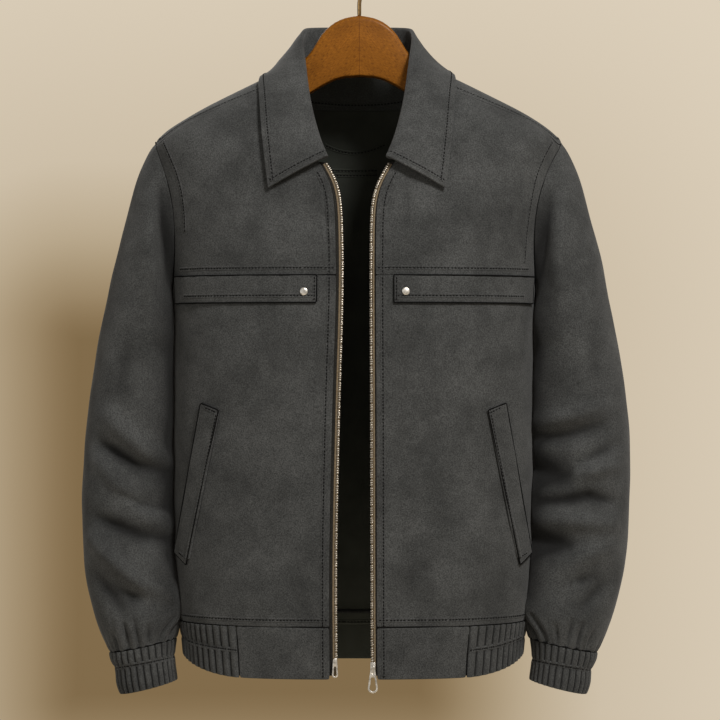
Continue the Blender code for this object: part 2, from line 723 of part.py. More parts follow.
def build_tape(side):
    """A band behind the front edge, out to the line of the teeth."""
    face = -(CLOTH + LAY_ON_GAP)
    places = []
    for z in [TAPE_FOOT_Z, HEM_SEAM_Z, *LOWER_ROWS, CHEST_SEAM_Z, *EDGE_ROWS]:
        at_teeth = turn_of_half_x(abs(zip_line(side, z) - BODY.at(z).lean), z)
        hidden = edge_turn(side, z) + TAPE_UNDER / BODY.at(z).front / 1.1
        places.append([(side * turn, z) for turn in (at_teeth, hidden)])
    shell_on_body(f"zip_tape_{SIDES[side]}", places, face, TAPE, "tape")


def flat_outline(name, outlines, thickness, place, material):
    """A plate from closed outlines in the plane of the front: the first is its rim, the others holes."""
    curve = bpy.data.curves.new(name, "CURVE")
    curve.dimensions = "2D"
    curve.fill_mode = "BOTH"
    curve.extrude = thickness / 2
    for outline in outlines:
        spline = curve.splines.new("POLY")
        spline.points.add(len(outline) - 1)
        for point, (x, z) in zip(spline.points, outline):
            point.co = (x, z, 0, 1)
        spline.use_cyclic_u = True
    obj = bpy.data.objects.new(name, curve)
    obj.location = place
    obj.rotation_euler = (pi / 2, 0, 0)
    weld = obj.modifiers.new("Weld", "WELD")
    weld.merge_threshold = 0.00001
    return link(obj, material)


def egg(half_top, half_foot, top, foot, steps=6):
    """A closed outline: round at both ends, half_top wide above and half_foot wide below."""
    points = []
    for i in range(steps + 1):
        angle = pi * i / steps
        points.append((half_top * cos(angle), top - half_top * (1 - sin(angle))))
    for i in range(steps + 1):
        angle = pi + pi * i / steps
        points.append((half_foot * cos(angle), foot + half_foot * (1 + sin(angle))))
    return points


def front_y(x, z):
    """y of the form's front face at a place."""
    return body_point(turn_of_half_x(abs(x - BODY.at(z).lean), z), z).y


def build_slider(face):
    """The slider's body, with a bar that arches over its front and holds the pull's ring."""
    half_width, depth, half_bar, bar, reach = 0.0026, 0.0036, 0.0007, 0.0010, 0.0034
    rows = [PULL_Z + rise for rise in (-0.0122, -0.0034, -0.0024, 0.0020, 0.0030, 0.0042)]
    mesh = bmesh.new()

    def point(x, y, z):
        return mesh.verts.new((SLIDER_X + x, face + y, z))

    front = [[point(x, 0, z) for x in (-half_width, -half_bar, half_bar, half_width)] for z in rows]
    back = [[point(x, depth, z) for x in (-half_width, half_width)] for z in (rows[0], rows[-1])]
    feet_of_bar = ((1, 1), (3, 1))
    for i, (low, high) in enumerate(zip(front, front[1:])):
        for j in range(3):
            if (i, j) not in feet_of_bar:
                mesh.faces.new([low[j], low[j + 1], high[j + 1], high[j]])
    mesh.faces.new([*back[0], *back[1][::-1]])
    for k in (0, 1):
        mesh.faces.new([*(row[-k] for row in front), back[1][k], back[0][k]])
        mesh.faces.new([*front[-k], *back[k][::-1]])
    rings = [[front[1][1], front[1][2], front[2][2], front[2][1]]]
    for outer_z, inner_z in ((rows[1], rows[2]), (rows[4], rows[3])):
        ring = [point(x, -reach, outer_z) for x in (-half_bar, half_bar)]
        rings.append(ring + [point(x, bar - reach, inner_z) for x in (half_bar, -half_bar)])
    rings.append([front[4][1], front[4][2], front[3][2], front[3][1]])
    for ring, after in zip(rings, rings[1:]):
        for j in range(4):
            k = (j + 1) % 4
            mesh.faces.new([ring[j], ring[k], after[k], after[j]])
    bmesh.ops.recalc_face_normals(mesh, faces=mesh.faces)
    data = bpy.data.meshes.new("zip_slider_right")
    mesh.to_mesh(data)
    mesh.free()
    link(bpy.data.objects.new("zip_slider_right", data), "metal")


def build_zip_ends():
    """The left tape's end fitting, and the right tape's slider with its pull tab."""
    pin_x, pin_top, pin_height = -0.0262, -0.7860, 0.0210
    pin_y = front_y(pin_x, pin_top) - 0.0002
    pin = [egg(0.0021, 0.0031, 0.0, -pin_height), egg(0.0011, 0.0018, -0.0085, 0.0013 - pin_height)]
    flat_outline("zip_pin_left", pin, 0.0014, (pin_x, pin_y, pin_top), "metal")

    face = front_y(SLIDER_X, PULL_Z) - 0.0023
    build_slider(face)
    pivot = bpy.data.objects.new("zip_pull_pivot", None)
    pivot.location = (SLIDER_X, face - PULL_OFF_SLIDER, PULL_Z)
    COLLECTION.objects.link(pivot)
    rim = egg(0.0021, 0.0052, 0.0006, PULL_FOOT)
    holes = [egg(0.0013, 0.0014, -0.0006, -0.0085), egg(0.0022, 0.0038, -0.0105, PULL_FOOT + 0.0015)]
    pull = flat_outline("zip_pull_right", [rim, *holes], 0.0012, (0, 0, 0), "metal")
    pull.parent = pivot


# ---- Snaps ----


def build_snap(side):
    x, z = {-1: (-0.0598, -0.3890), 1: (0.0504, -0.3887)}[side]
    turn = side * turn_of_half_x(abs(x - BODY.at(z).lean), z)
    place = off_body(turn, z, LAY_ON_GAP + CLOTH + SEAM_GAP + 0.0001)
    profile = [(0.0, 0.0019), (0.0016, 0.0018), (0.0029, 0.0013), (0.0037, 0.0006), (0.0038, 0.0)]
    mesh = bmesh.new()
    points = [mesh.verts.new((radius, 0, height)) for radius, height in profile]
    points.append(mesh.verts.new((0, 0, 0)))
    for a, b in zip(points, points[1:]):
        mesh.edges.new((a, b))
    data = bpy.data.meshes.new(f"snap_{SIDES[side]}")
    mesh.to_mesh(data)
    mesh.free()
    snap = link(bpy.data.objects.new(f"snap_{SIDES[side]}", data), "metal")
    turned = snap.modifiers.new("Screw", "SCREW")
    turned.steps = turned.render_steps = 14
    turned.use_merge_vertices, turned.merge_threshold = True, 0.00001
    snap.rotation_euler = body_normal(turn, z).to_track_quat("Z", "Y").to_euler()
    snap.location = place


# ---- Hanger ----


def smooth_line(points, per_span=4):
    """Points along a smooth curve through the given ones."""
    padded = [points[0], *points, points[-1]]
    line = []
    for a, b, c, d in zip(padded, padded[1:], padded[2:], padded[3:]):
        for i in range(per_span):
            t = i / per_span
            line.append(tuple(
                q + 0.5 * ((r - p) * t + (2 * p - 5 * q + 4 * r - s) * t**2 + (3 * q - p - 3 * r + s) * t**3)
                for p, q, r, s in zip(a, b, c, d)
            ))
    line.append(points[-1])
    return line


def ridge_z(half_x):
    """The height of the shoulder's ridge at a distance from the middle."""
    low, high = -0.219, -0.120
    for _ in range(30):
        middle = (low + high) / 2
        if BODY.at(middle).half_width > half_x:
            low = middle
        else:
            high = middle
    return low


def build_hanger():
    arm_top = [(x, ridge_z(x) - CLOTH - RIDGE_TO_HANGER) for x in ARM_XS]
    tip = [(0.2010, -0.2110), (0.2030, -0.2200)]
    half = smooth_line([*DOME, *arm_top, *tip, *ARCH], 2)
    outline = half + [(-x, z) for x, z in half[-2:0:-1]]
    hanger = flat_outline("hanger_wood", [outline], 2 * HANGER_HALF_DEPTH, (0, 0, 0), "wood")
    rounded = hanger.modifiers.new("Bevel", "BEVEL")
    rounded.width, rounded.segments, rounded.limit_method = HANGER_EDGE, 2, "ANGLE"
    rounded.angle_limit = radians(60)

    radius = HOOK_INNER + HOOK_WIRE
    centre_z = -HOOK_INNER
    arc = [(radius * cos(radians(a)), centre_z + radius * sin(radians(a))) for a in range(-25, 201, 15)]
    stem = [(0.0, -0.0775), (0.0, -0.0670), (0.0, -0.0590), (0.0050, -0.0505), (0.0140, -0.0400)]
    curve = bpy.data.curves.new("hanger_hook", "CURVE")
    curve.dimensions = "3D"
    curve.bevel_depth, curve.bevel_resolution, curve.use_fill_caps = HOOK_WIRE, 2, True
    path = smooth_line([*stem, *arc], 1)
    spline = curve.splines.new("POLY")
    spline.points.add(len(path) - 1)
    for point, (x, z) in zip(spline.points, path):
        point.co = (x, 0, z, 1)
    link(bpy.data.objects.new("hanger_hook", curve), "brass")


# ---- Building it all ----


def make_material(name, colour, roughness, metallic):
    material = bpy.data.materials.new(name)
    material.use_nodes = True
    shader = material.node_tree.nodes["Principled BSDF"]
    shader.inputs["Base Color"].default_value = (*colour, 1)
    shader.inputs["Roughness"].default_value = roughness
    shader.inputs["Metallic"].default_value = metallic
    return material


for startup in list(bpy.data.objects):
    bpy.data.objects.remove(startup)
COLLECTION = bpy.data.collections.new("jacket_on_hanger")
bpy.context.scene.collection.children.link(COLLECTION)
MATERIALS = {name: make_material(name, *finish) for name, finish in COLOURS.items()}

build_back()
build_lining()
build_collar()
for side in SIDES:
    build_yoke(side)
    build_lower_front(side)
    build_chest_strip(side)
    build_welt(side)
    build_sleeve(side)
    build_cuff(side)
    build_tape(side)
    build_snap(side)
build_hem()
build_zip_ends()
build_hanger()
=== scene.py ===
# %% [markdown]
# # A jacket on a wooden hanger
# The solids of this jacket are already made: thirty closed parts with the right sizes and places.
# This lesson dresses them. Cloth gets its softness, folds and stitching, the zip its teeth, and
# everything a finish. Nothing is moved or resized on the way, so the dressed jacket keeps the
# solids' measurements, and each softened copy takes the place of its solid.

# %% Load the solids
from functools import cache
from math import cos, pi, radians, sin

import bmesh
import bpy
import numpy as np
from mathutils import Matrix, Vector, kdtree, noise
from mathutils.bvhtree import BVHTree


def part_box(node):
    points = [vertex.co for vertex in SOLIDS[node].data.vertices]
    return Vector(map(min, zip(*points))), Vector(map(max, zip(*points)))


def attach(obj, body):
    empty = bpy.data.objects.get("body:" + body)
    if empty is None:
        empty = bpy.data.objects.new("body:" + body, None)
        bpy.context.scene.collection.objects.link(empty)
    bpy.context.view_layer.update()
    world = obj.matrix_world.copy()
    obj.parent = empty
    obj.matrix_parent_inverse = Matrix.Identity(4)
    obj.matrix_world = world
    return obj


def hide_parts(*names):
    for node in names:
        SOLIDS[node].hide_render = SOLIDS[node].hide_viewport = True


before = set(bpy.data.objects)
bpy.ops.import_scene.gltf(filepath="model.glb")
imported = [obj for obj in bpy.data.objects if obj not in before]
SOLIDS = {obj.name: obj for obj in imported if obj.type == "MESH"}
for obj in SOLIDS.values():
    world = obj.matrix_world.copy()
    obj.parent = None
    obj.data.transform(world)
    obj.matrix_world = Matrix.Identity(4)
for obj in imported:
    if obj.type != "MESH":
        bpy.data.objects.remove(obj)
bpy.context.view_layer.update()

SIDES = ("left", "right")
print("solids:", len(SOLIDS))

# %% [markdown]
# ## Camera, floor and light
# The photo was taken straight on, from the height of the jacket's middle. A wide lens up close
# would swell what is near it, so a long lens far away keeps the sleeves and the fronts in
# proportion. The floor lies well below the hem, because the jacket hangs in the air. Two helpers
# turn the photo's pixels into metres, which later cells use to draw folds and seams.

# %% Camera
EYE = Vector((0.0008, -3.2, -0.463))
LENS, SENSOR, PHOTO_SIDE = 142.9, 36.0, 720
bpy.ops.object.camera_add(location=EYE, rotation=(pi / 2, 0, 0))
camera = bpy.context.object
camera.data.lens, camera.data.sensor_width = LENS, SENSOR
bpy.context.scene.camera = camera


def photo_scale(y):
    """Metres for each pixel of the photo, on the upright plane at this depth."""
    return (y - EYE.y) * SENSOR / LENS / PHOTO_SIDE


def from_photo(pixel, y=-0.1):
    """(x, z) in metres of a pixel of the photo, on the upright plane at this depth."""
    scale = photo_scale(y)
    return EYE.x + (pixel[0] - PHOTO_SIDE / 2) * scale, EYE.z + (PHOTO_SIDE / 2 - pixel[1]) * scale


# %% Floor
FLOOR_Z = -1.62
bpy.ops.mesh.primitive_plane_add(size=9.0, location=(0, 0, FLOOR_Z))
floor = bpy.context.object
floor.name = "floor"

# %% [markdown]
# A large soft light from the upper right gives the photo's quiet shading, a weaker one from the
# left keeps the shaded side readable, and one from behind draws the edges. They are round area
# lights, because a wide light leaves a soft shadow, and a small one a hard edge.

# %% Lights
LIT_PLACE = Vector((0, 0, -0.42))


def soft_light(name, location, side, watts, tint):
    bpy.ops.object.light_add(type="AREA", location=location)
    light = bpy.context.object
    light.name = name
    light.data.shape, light.data.size = "DISK", side
    light.data.energy, light.data.color = watts, tint
    light.rotation_euler = (LIT_PLACE - light.location).to_track_quat("-Z", "Y").to_euler()


soft_light("key_light", (1.35, -2.5, 2.0), 0.9, 118, (1.0, 0.98, 0.96))
soft_light("fill_light", (-2.6, -2.4, 0.1), 2.4, 15, (0.94, 0.97, 1.0))
soft_light("back_light", (-0.6, 2.8, 1.3), 1.8, 26, (1.0, 0.97, 0.93))

# %% [markdown]
# ## Nodes
# Finishes and the sky are networks of nodes, which could be wired one link at a time. That hides
# the idea behind the wiring, so each helper adds a node that is fed by values or by outputs of
# nodes made before, and a finish then reads from its pattern to its colour.


# %% Helpers for nodes
def add_node(tree, kind, inputs={}, **settings):
    """A node with its settings, and its inputs by name or number."""
    node = tree.nodes.new("ShaderNode" + kind)
    for name, value in settings.items():
        setattr(node, name, value)
    for place, value in inputs.items():
        if isinstance(value, bpy.types.NodeSocket):
            tree.links.new(value, node.inputs[place])
        else:
            node.inputs[place].default_value = value
    return node


def add_noise(tree, vector, scale, detail=3, stretch=None, turn=(0, 0, 0)):
    """The value of a noise texture, stretched along its turned axes."""
    if stretch:
        inputs = {"Vector": vector, "Scale": stretch, "Rotation": turn}
        vector = add_node(tree, "Mapping", inputs, vector_type="TEXTURE").outputs["Vector"]
    inputs = {"Vector": vector, "Scale": scale, "Detail": detail}
    return add_node(tree, "TexNoise", inputs).outputs["Fac"]


def add_ramp(tree, value, stops, interpolation="LINEAR"):
    """A colour ramp over a value: stops are (place, colour)."""
    ramp = add_node(tree, "ValToRGB", {"Fac": value})
    ramp.color_ramp.interpolation = interpolation
    while len(ramp.color_ramp.elements) < len(stops):
        ramp.color_ramp.elements.new(0.5)
    for element, (place, colour) in zip(ramp.color_ramp.elements, stops):
        element.position, element.color = place, (*colour, 1)
    return ramp.outputs["Color"]


def add_mix(tree, first, second, share, blend="MIX"):
    """Two colours mixed; share is a number or a value."""
    inputs = {6: first, 7: second, 0: share}
    return add_node(tree, "Mix", inputs, data_type="RGBA", blend_type=blend).outputs[2]


# %% [markdown]
# The camera sees a beige wall with the jacket's soft shadow on it, low on the left. A real wall
# would need its own light and would get in the way when the camera goes round. It is therefore
# painted on the sky, for the camera's rays alone: a rounded box in the directions from the lens,
# darkest inside and paler with the distance from it. All other rays meet an even, warm grey.

# %% Sky and wall
WALL_TONES = [
    (0.0, (0.2, 0.132, 0.06)), (0.015, (0.31, 0.222, 0.12)), (0.036, (0.49, 0.395, 0.265)),
    (0.062, (0.61, 0.52, 0.395)), (0.15, (0.735, 0.645, 0.515)),
]
SHADOW_MIDDLE, SHADOW_HALF = (-0.0385, 1.0, -0.0543), (0.0595, 9.0, 0.0612)
DISTANCE_FROM_BOX = [
    ("SUBTRACT", {1: SHADOW_MIDDLE}), ("ABSOLUTE", {}), ("SUBTRACT", {1: SHADOW_HALF}),
    ("MAXIMUM", {1: (0, 0, 0)}), ("LENGTH", {}),
]
world = bpy.data.worlds.new("studio")
world.use_nodes = True
sky = world.node_tree
glow = sky.nodes["Background"]
glow.inputs["Color"].default_value = (0.62, 0.58, 0.52, 1)
glow.inputs["Strength"].default_value = 0.5
way = add_node(sky, "TexCoord").outputs["Generated"]
for operation, amount in DISTANCE_FROM_BOX:
    step = add_node(sky, "VectorMath", {0: way} | amount, operation=operation)
    way = step.outputs["Value" if operation == "LENGTH" else "Vector"]
wall = add_node(sky, "Background", {"Color": add_ramp(sky, way, WALL_TONES, "B_SPLINE")})
seen = add_node(sky, "LightPath").outputs["Is Camera Ray"]
either = add_node(sky, "MixShader", {0: seen, 1: glow.outputs[0], 2: wall.outputs[0]})
sky.links.new(either.outputs[0], sky.nodes["World Output"].inputs["Surface"])
bpy.context.scene.world = world
bpy.context.scene.view_settings.view_transform = "Standard"

# %% [markdown]
# ## Finishes
# Each finish is procedural, on the piece's own metres, so a grain keeps its real size. Brushed
# cloth shows three things at once: cloudy patches where the nap lies another way, a fine speckle,
# and a soft sheen at its edges. Two sizes of noise make the patches, two finer ones the speckle and
# its bumps. The cloth also takes painted shade from a value that folds and ribs write later on each
# point: little light gets into them, and cloth this dark shows that more than their shape.


# %% Helpers for materials
def new_finish(name, colour, roughness, specular=0.5, more={}):
    """A material, its node tree, and the object's own metres for its textures to read."""
    material = bpy.data.materials.new(name)
    material.use_nodes = True
    tree = material.node_tree
    values = {"Base Color": (*colour, 1), "Roughness": roughness, "Specular IOR Level": specular}
    for socket, value in (values | more).items():
        tree.nodes["Principled BSDF"].inputs[socket].default_value = value
    return material, tree, add_node(tree, "TexCoord").outputs["Object"]


def feed_shader(tree, colour, *bumps):
    """Feed the shader its colour, and bumps, coarse to fine: (value, strength, metres)."""
    inputs = tree.nodes["Principled BSDF"].inputs
    tree.links.new(colour, inputs["Base Color"])
    below = {}
    for value, strength, height in bumps:
        layer = {"Strength": strength, "Distance": height, "Height": value}
        below = {"Normal": add_node(tree, "Bump", layer | below).outputs["Normal"]}
    for normal in below.values():
        tree.links.new(normal, inputs["Normal"])


# %% Brushed charcoal cloth
def brushed_cloth(name, dark, light, grain_dark, grain_light):
    sheen = {"Sheen Weight": 0.1, "Sheen Roughness": 0.5}
    material, tree, metres = new_finish(name, light, 0.95, 0.18, sheen)
    clouds, patches = add_noise(tree, metres, 21, 3), add_noise(tree, metres, 70, 4)
    speckle, grain = add_noise(tree, metres, 420, 3), add_noise(tree, metres, 760, 2)
    base, worn = (add_ramp(tree, value, [(0.36, dark), (0.66, light)]) for value in (clouds, patches))
    fine = add_ramp(tree, grain, [(0.32, (grain_dark,) * 3), (0.68, (grain_light,) * 3)])
    colour = add_mix(tree, add_mix(tree, base, worn, 0.3), fine, 1.0, "MULTIPLY")
    # Painted shade: the colour goes towards near black by a value on each point, written by the folds
    # and ribs.
    painted_shade = add_node(tree, "Attribute", attribute_name="painted_shade").outputs["Fac"]
    colour = add_mix(tree, colour, (0.006, 0.006, 0.006, 1), painted_shade)
    feed_shader(tree, colour, (patches, 0.3, 0.0012), (speckle, 0.4, 0.0005), (grain, 0.6, 0.0004))
    return material


CLOTH = brushed_cloth("brushed_cloth", (0.036, 0.037, 0.0362), (0.066, 0.0675, 0.066), 0.56, 1.36)
FACING = brushed_cloth("dark_facing", (0.042, 0.045, 0.042), (0.062, 0.066, 0.061), 0.75, 1.2)

# %% Lining, zip tape and thread
LINING, tree, metres = new_finish("dark_lining", (0.034, 0.037, 0.032), 0.9, 0.15)
weave = add_noise(tree, metres, 900, 2, (1, 1, 3), (0, radians(30), 0))
creases = add_noise(tree, metres, 28, 3)
colour = add_ramp(tree, creases, [(0.3, (0.038, 0.042, 0.035)), (0.7, (0.054, 0.058, 0.049))])
feed_shader(tree, colour, (creases, 0.3, 0.002), (weave, 0.4, 0.0003))


def woven(name, dark, light, roughness, threads_per_metre):
    """Close-woven narrow goods: fine ribs across the height."""
    material, tree, metres = new_finish(name, light, roughness, 0.12)
    ribs = add_noise(tree, metres, threads_per_metre, 1, (2.5, 2.5, 1))
    feed_shader(tree, add_ramp(tree, ribs, [(0.35, dark), (0.65, light)]), (ribs, 0.5, 0.0003))
    return material


TAPE = woven("zip_tape_weave", (0.01, 0.01, 0.009), (0.026, 0.024, 0.021), 0.8, 1500)
PIPING = woven("beige_piping", (0.13, 0.098, 0.06), (0.215, 0.165, 0.105), 0.8, 1800)
THREAD = woven("dark_thread", (0.0035, 0.0035, 0.0035), (0.008, 0.008, 0.008), 0.7, 2500)
# Near black: painted shade in the seams' gaps and round the welts and chest strips.
SEAM_PAINTED_SHADE = new_finish("turned_in_edges_painted_shade", (0.006, 0.006, 0.006), 0.95, 0.05)[0]


# %% Metals
def worn_metal(name, colour, roughness):
    """Metal with faint dark clouding and fine scratches along its height."""
    material, tree, metres = new_finish(name, colour, roughness, more={"Metallic": 1.0})
    clouds = add_noise(tree, metres, 260, 4)
    scratches = add_noise(tree, metres, 2200, 3, (1, 1, 12))
    dull = tuple(0.62 * channel for channel in colour)
    tone = add_ramp(tree, clouds, [(0.35, dull), (0.62, colour)])
    feed_shader(tree, tone, (clouds, 0.1, 0.0002), (scratches, 0.12, 0.0001))
    return material


ZIP_METAL = worn_metal("pale_zip_metal", (0.52, 0.47, 0.4), 0.34)
TRIM_METAL = worn_metal("bright_trim_metal", (0.88, 0.84, 0.77), 0.42)
BRASS = worn_metal("brass_wire", (0.42, 0.27, 0.12), 0.26)

# %% [markdown]
# ## Varnished wood
# The hanger is two halves glued at the middle, and the grain runs down from there on both sides,
# like a mirror image. Two materials could show that, but x without its sign folds one pattern over
# the joint. Long thin noise, turned to the grain's slant, makes the pores, slow noise the warmer
# and paler stretches, and a thin clear coat the varnish's shine.

# %% Wood
GRAIN_SLANT, HALF_JOINT = (0, radians(34), 0), 0.00035
coat = {"Coat Weight": 0.06, "Coat Roughness": 0.18}
WOOD, tree, metres = new_finish("varnished_wood", (0.3, 0.12, 0.025), 0.5, 0.12, coat)
split = add_node(tree, "SeparateXYZ", {0: metres}).outputs
folded = add_node(tree, "Math", {0: split["X"]}, operation="ABSOLUTE").outputs[0]
mirrored = add_node(tree, "CombineXYZ", {0: folded, 1: split["Y"], 2: split["Z"]}).outputs[0]
pores = add_noise(tree, mirrored, 2000, 2, (8, 1, 1), GRAIN_SLANT)
figure = add_noise(tree, mirrored, 60, 3, (3, 1, 1), GRAIN_SLANT)
warm = add_ramp(tree, figure, [(0.3, (0.2, 0.07, 0.0042)), (0.7, (0.275, 0.1, 0.0075))])
dark_pores = add_ramp(tree, pores, [(0.34, (0.52, 0.46, 0.4)), (0.6, (1.12, 1.12, 1.12))])
stained = add_mix(tree, warm, dark_pores, 1.0, "MULTIPLY")
at_joint = add_node(tree, "Math", {0: folded, 1: HALF_JOINT}, operation="LESS_THAN").outputs[0]
glued = add_mix(tree, stained, (0.12, 0.038, 0.003, 1), at_joint)
feed_shader(tree, glued, (figure, 0.1, 0.001), (pores, 0.45, 0.0003))

# %% Floor finish
PALE_FLOOR, tree, metres = new_finish("pale_floor", (0.62, 0.56, 0.47), 0.85)
plaster = add_noise(tree, metres, 9, 4)
feed_shader(tree, add_ramp(tree, plaster, [(0.3, (0.6, 0.54, 0.45)), (0.7, (0.64, 0.58, 0.49))]))
floor.data.materials.append(PALE_FLOOR)

# %% [markdown]
# ## From solid to cloth
# A cloth panel's solid is a grid of flat facets with the right outline. It could be left as it is
# and shaded smooth, but its silhouette would stay faceted. A copy of it is merged back into whole
# four-sided faces instead, its rim is bevelled so that the edge rolls over, and a subdivision
# surface rounds it into one supple sheet. The solid itself stays hidden behind its copy.


# %% Copy a solid and soften it
def set_mode(mode):
    bpy.ops.object.mode_set(mode=mode)


def only(piece):
    """Select this piece alone and make it active."""
    if bpy.context.object and bpy.context.object.mode != "OBJECT":
        set_mode("OBJECT")
    bpy.ops.object.select_all(action="DESELECT")
    piece.select_set(True)
    bpy.context.view_layer.objects.active = piece


def apply_all(piece):
    only(piece)
    for modifier in list(piece.modifiers):
        bpy.ops.object.modifier_apply(modifier=modifier.name)
    bpy.ops.object.shade_smooth()


def copy_of(node, name):
    """A copy of a solid's mesh with its loose triangles merged into four-sided faces."""
    piece = SOLIDS[node].copy()
    piece.data = SOLIDS[node].data.copy()
    piece.name = piece.data.name = name
    for key in list(piece.keys()):
        del piece[key]
    piece.parent = None
    bpy.context.scene.collection.objects.link(piece)
    piece.hide_viewport = piece.hide_render = False
    piece.hide_set(False)
    only(piece)
    bpy.ops.mesh.customdata_custom_splitnormals_clear()
    set_mode("EDIT")
    bpy.ops.mesh.select_all(action="SELECT")
    bpy.ops.mesh.remove_doubles(threshold=0.00002)
    bpy.ops.mesh.tris_convert_to_quads(face_threshold=radians(50), shape_threshold=radians(120))
    set_mode("OBJECT")
    return piece


def finish_with(piece, material):
    piece.data.materials.clear()
    piece.data.materials.append(material)
    for face in piece.data.polygons:
        face.material_index = 0


def stand_for(piece, node, material, body="garment"):
    """Finish a piece, and show it on its body in place of a solid."""
    finish_with(piece, material)
    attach(piece, body)
    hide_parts(node)


def add_bevel(piece, width, segments, degrees):
    bevel = piece.modifiers.new("rolled_edge", "BEVEL")
    bevel.width, bevel.segments = width, segments
    bevel.limit_method, bevel.angle_limit = "ANGLE", radians(degrees)


def soften(piece, levels, edge=0.0007):
    """Roll the rims over with a bevel, then round the whole sheet."""
    add_bevel(piece, edge, 1, 50)
    rounded = piece.modifiers.new("rounded", "SUBSURF")
    rounded.levels = rounded.render_levels = levels
    apply_all(piece)


# %% Points and normals in bulk
def rows_of(items, name):
    """A vector for each point or face of a mesh."""
    values = np.empty(len(items) * 3)
    items.foreach_get(name, values)
    return values.reshape(-1, 3)


def points_of(piece):
    return rows_of(piece.data.vertices, "co")


def normals_of(piece):
    return rows_of(piece.data.vertices, "normal")


def set_points(piece, points):
    piece.data.vertices.foreach_set("co", np.ascontiguousarray(points).ravel())
    piece.data.update()


def line_inside(piece, out_at):
    """Give the faces that look inwards the lining's finish."""
    faces = piece.data.polygons
    piece.data.materials.append(LINING)
    inward = np.sum(rows_of(faces, "normal") * out_at(rows_of(faces, "center")), axis=1) < -0.3
    faces.foreach_set("material_index", inward.astype(np.int32))
    piece.data.update()


def paint_shade(piece, amounts):
    """Write how much painted shade there is on the cloth at each point, from 0 to 1."""
    painted_shade = piece.data.attributes.new("painted_shade", "FLOAT", "POINT")
    painted_shade.data.foreach_set("value", np.clip(amounts, 0, 0.9).astype(np.float32))


def unit(vectors):
    return vectors / np.maximum(np.linalg.norm(vectors, axis=-1, keepdims=True), 1e-9)


def ease(low, high, values):
    """0 below low, 1 above high, and a smooth curve between them."""
    t = np.clip((values - low) / (high - low), 0, 1)
    return t * t * (3 - 2 * t)


# %% [markdown]
# ## Folds
# Cloth can be simulated, but a simulation folds where it likes. These folds have to lie where the
# photo shows them, so each is drawn: a line along which the cloth dips or rises, fading to both
# sides. It has two ends in the photo's pixels, a depth at its middle, and a breadth in pixels.
# Points move along the way out from the middle of the sleeve or the body, the inner wall with the
# outer one, so the sheet keeps its thickness.

# %% Folds: (x, y, x, y of the ends, depth in millimetres, breadth)
SLEEVE_FOLDS = {
    "left": [
        (100, 444, 153, 472, 6.5, 8), (110, 418, 160, 470, -4.5, 10), (122, 495, 150, 509, 5, 6.5),
        (101, 462, 160, 534, -4, 9), (97, 519, 150, 538, 6, 8), (94, 541, 137, 582, -5, 9),
        (137, 582, 163, 601, -4, 9), (124, 591, 143, 599, 4, 8), (96, 575, 122, 612, 4, 10),
        (165, 436, 169, 460, 6, 10), (163, 486, 168, 514, 7, 10), (164, 546, 168, 564, 6.5, 10),
        (160, 190, 169, 287, 5, 6.5), (148, 205, 156, 330, -3, 11), (128, 330, 118, 400, 2.5, 13),
        (169, 340, 168, 596, 6.5, 9),
    ],
    "right": [
        (543, 441, 602, 425, 4.4, 8), (548, 424, 596, 408, -4, 9), (583, 461, 618, 445, 3.5, 7),
        (578, 474, 612, 466, -4, 8), (535, 466, 562, 477, 10, 13), (556, 503, 588, 496, 5.5, 6.5),
        (588, 496, 613, 502, 4.5, 6.5), (560, 520, 612, 523, -4.5, 9), (535, 539, 565, 546, 9, 12),
        (570, 560, 606, 548, -3.5, 9), (572, 582, 592, 577, 3.5, 8), (584, 606, 606, 584, 3.5, 9),
        (551, 190, 537, 296, 5, 6.5), (562, 205, 556, 330, -3, 11), (538, 338, 540, 366, 6, 9),
        (590, 330, 600, 392, 2.5, 13), (536, 340, 538, 596, 6.5, 9),
    ],
}
# Bands of painted shade down the inner side of each sleeve, where the body shades it: the same
# columns, with the depth as the painted shade's strength in thousandths.
PAINTED_SIDE_SHADE = {"left": [(174, 196, 173, 604, 900, 14)], "right": [(532, 196, 533, 604, 900, 14)]}
BODY_FOLDS = [
    (320, 172, 325.5, 266, -0.9, 1.6), (323.5, 178, 328.8, 266, 0.9, 1.4),
    (327, 186, 331.6, 262, -0.7, 1.3), (288, 196, 300, 262, -1.3, 12), (262, 180, 252, 236, 1.2, 12),
    (410, 178, 404, 240, 1.1, 9), (428, 182, 436, 262, -1.3, 11), (527, 168, 526.6, 246, -0.9, 2.6),
    (470, 200, 486, 262, 0.9, 13), (214, 330, 222, 395, -1, 18), (498, 335, 488, 395, -1, 18),
    (262, 560, 256, 616, -1.2, 15), (296, 545, 300, 616, 1, 13), (448, 556, 452, 616, -1.2, 15),
    (412, 548, 408, 616, 1, 13), (205, 575, 214, 616, 1.1, 12), (505, 575, 494, 616, 1.1, 12),
]


def fold_depths(points, folds, y):
    """How far each point goes in, in metres, for folds drawn on the photo."""
    flat, total = points[:, (0, 2)], np.zeros(len(points))
    for *ends, depth, breadth in folds:
        a, b = np.array(from_photo(ends[:2], y)), np.array(from_photo(ends[2:], y))
        along = b - a
        t = np.clip((flat - a) @ along / (along @ along), 0, 1)
        off = np.linalg.norm(flat - a - t[:, None] * along, axis=1) / (breadth * photo_scale(y))
        crease = np.exp(-(off**1.5 if depth > 0 else off**2))
        total += depth / 1000 * crease * (0.55 + 0.45 * np.sin(pi * t))
    return total


def cloudy(points, size, seed):
    """Smooth noise from -1 to 1 at each point, with lumps of this size in metres."""
    offset = Vector((seed, 2.3 * seed, -1.7 * seed))
    return np.array([noise.noise(Vector(point) / size + offset) for point in points])


# %% The way out from the middle of the body
BODY_MIDDLE_X, BODY_HALF_WIDTH, BODY_HALF_DEPTH = -0.006, 0.205, 0.112


def body_out(points):
    across = (points[:, 0] - BODY_MIDDLE_X) / BODY_HALF_WIDTH**2
    return unit(np.stack([across, points[:, 1] / BODY_HALF_DEPTH**2, 0 * across], axis=1))


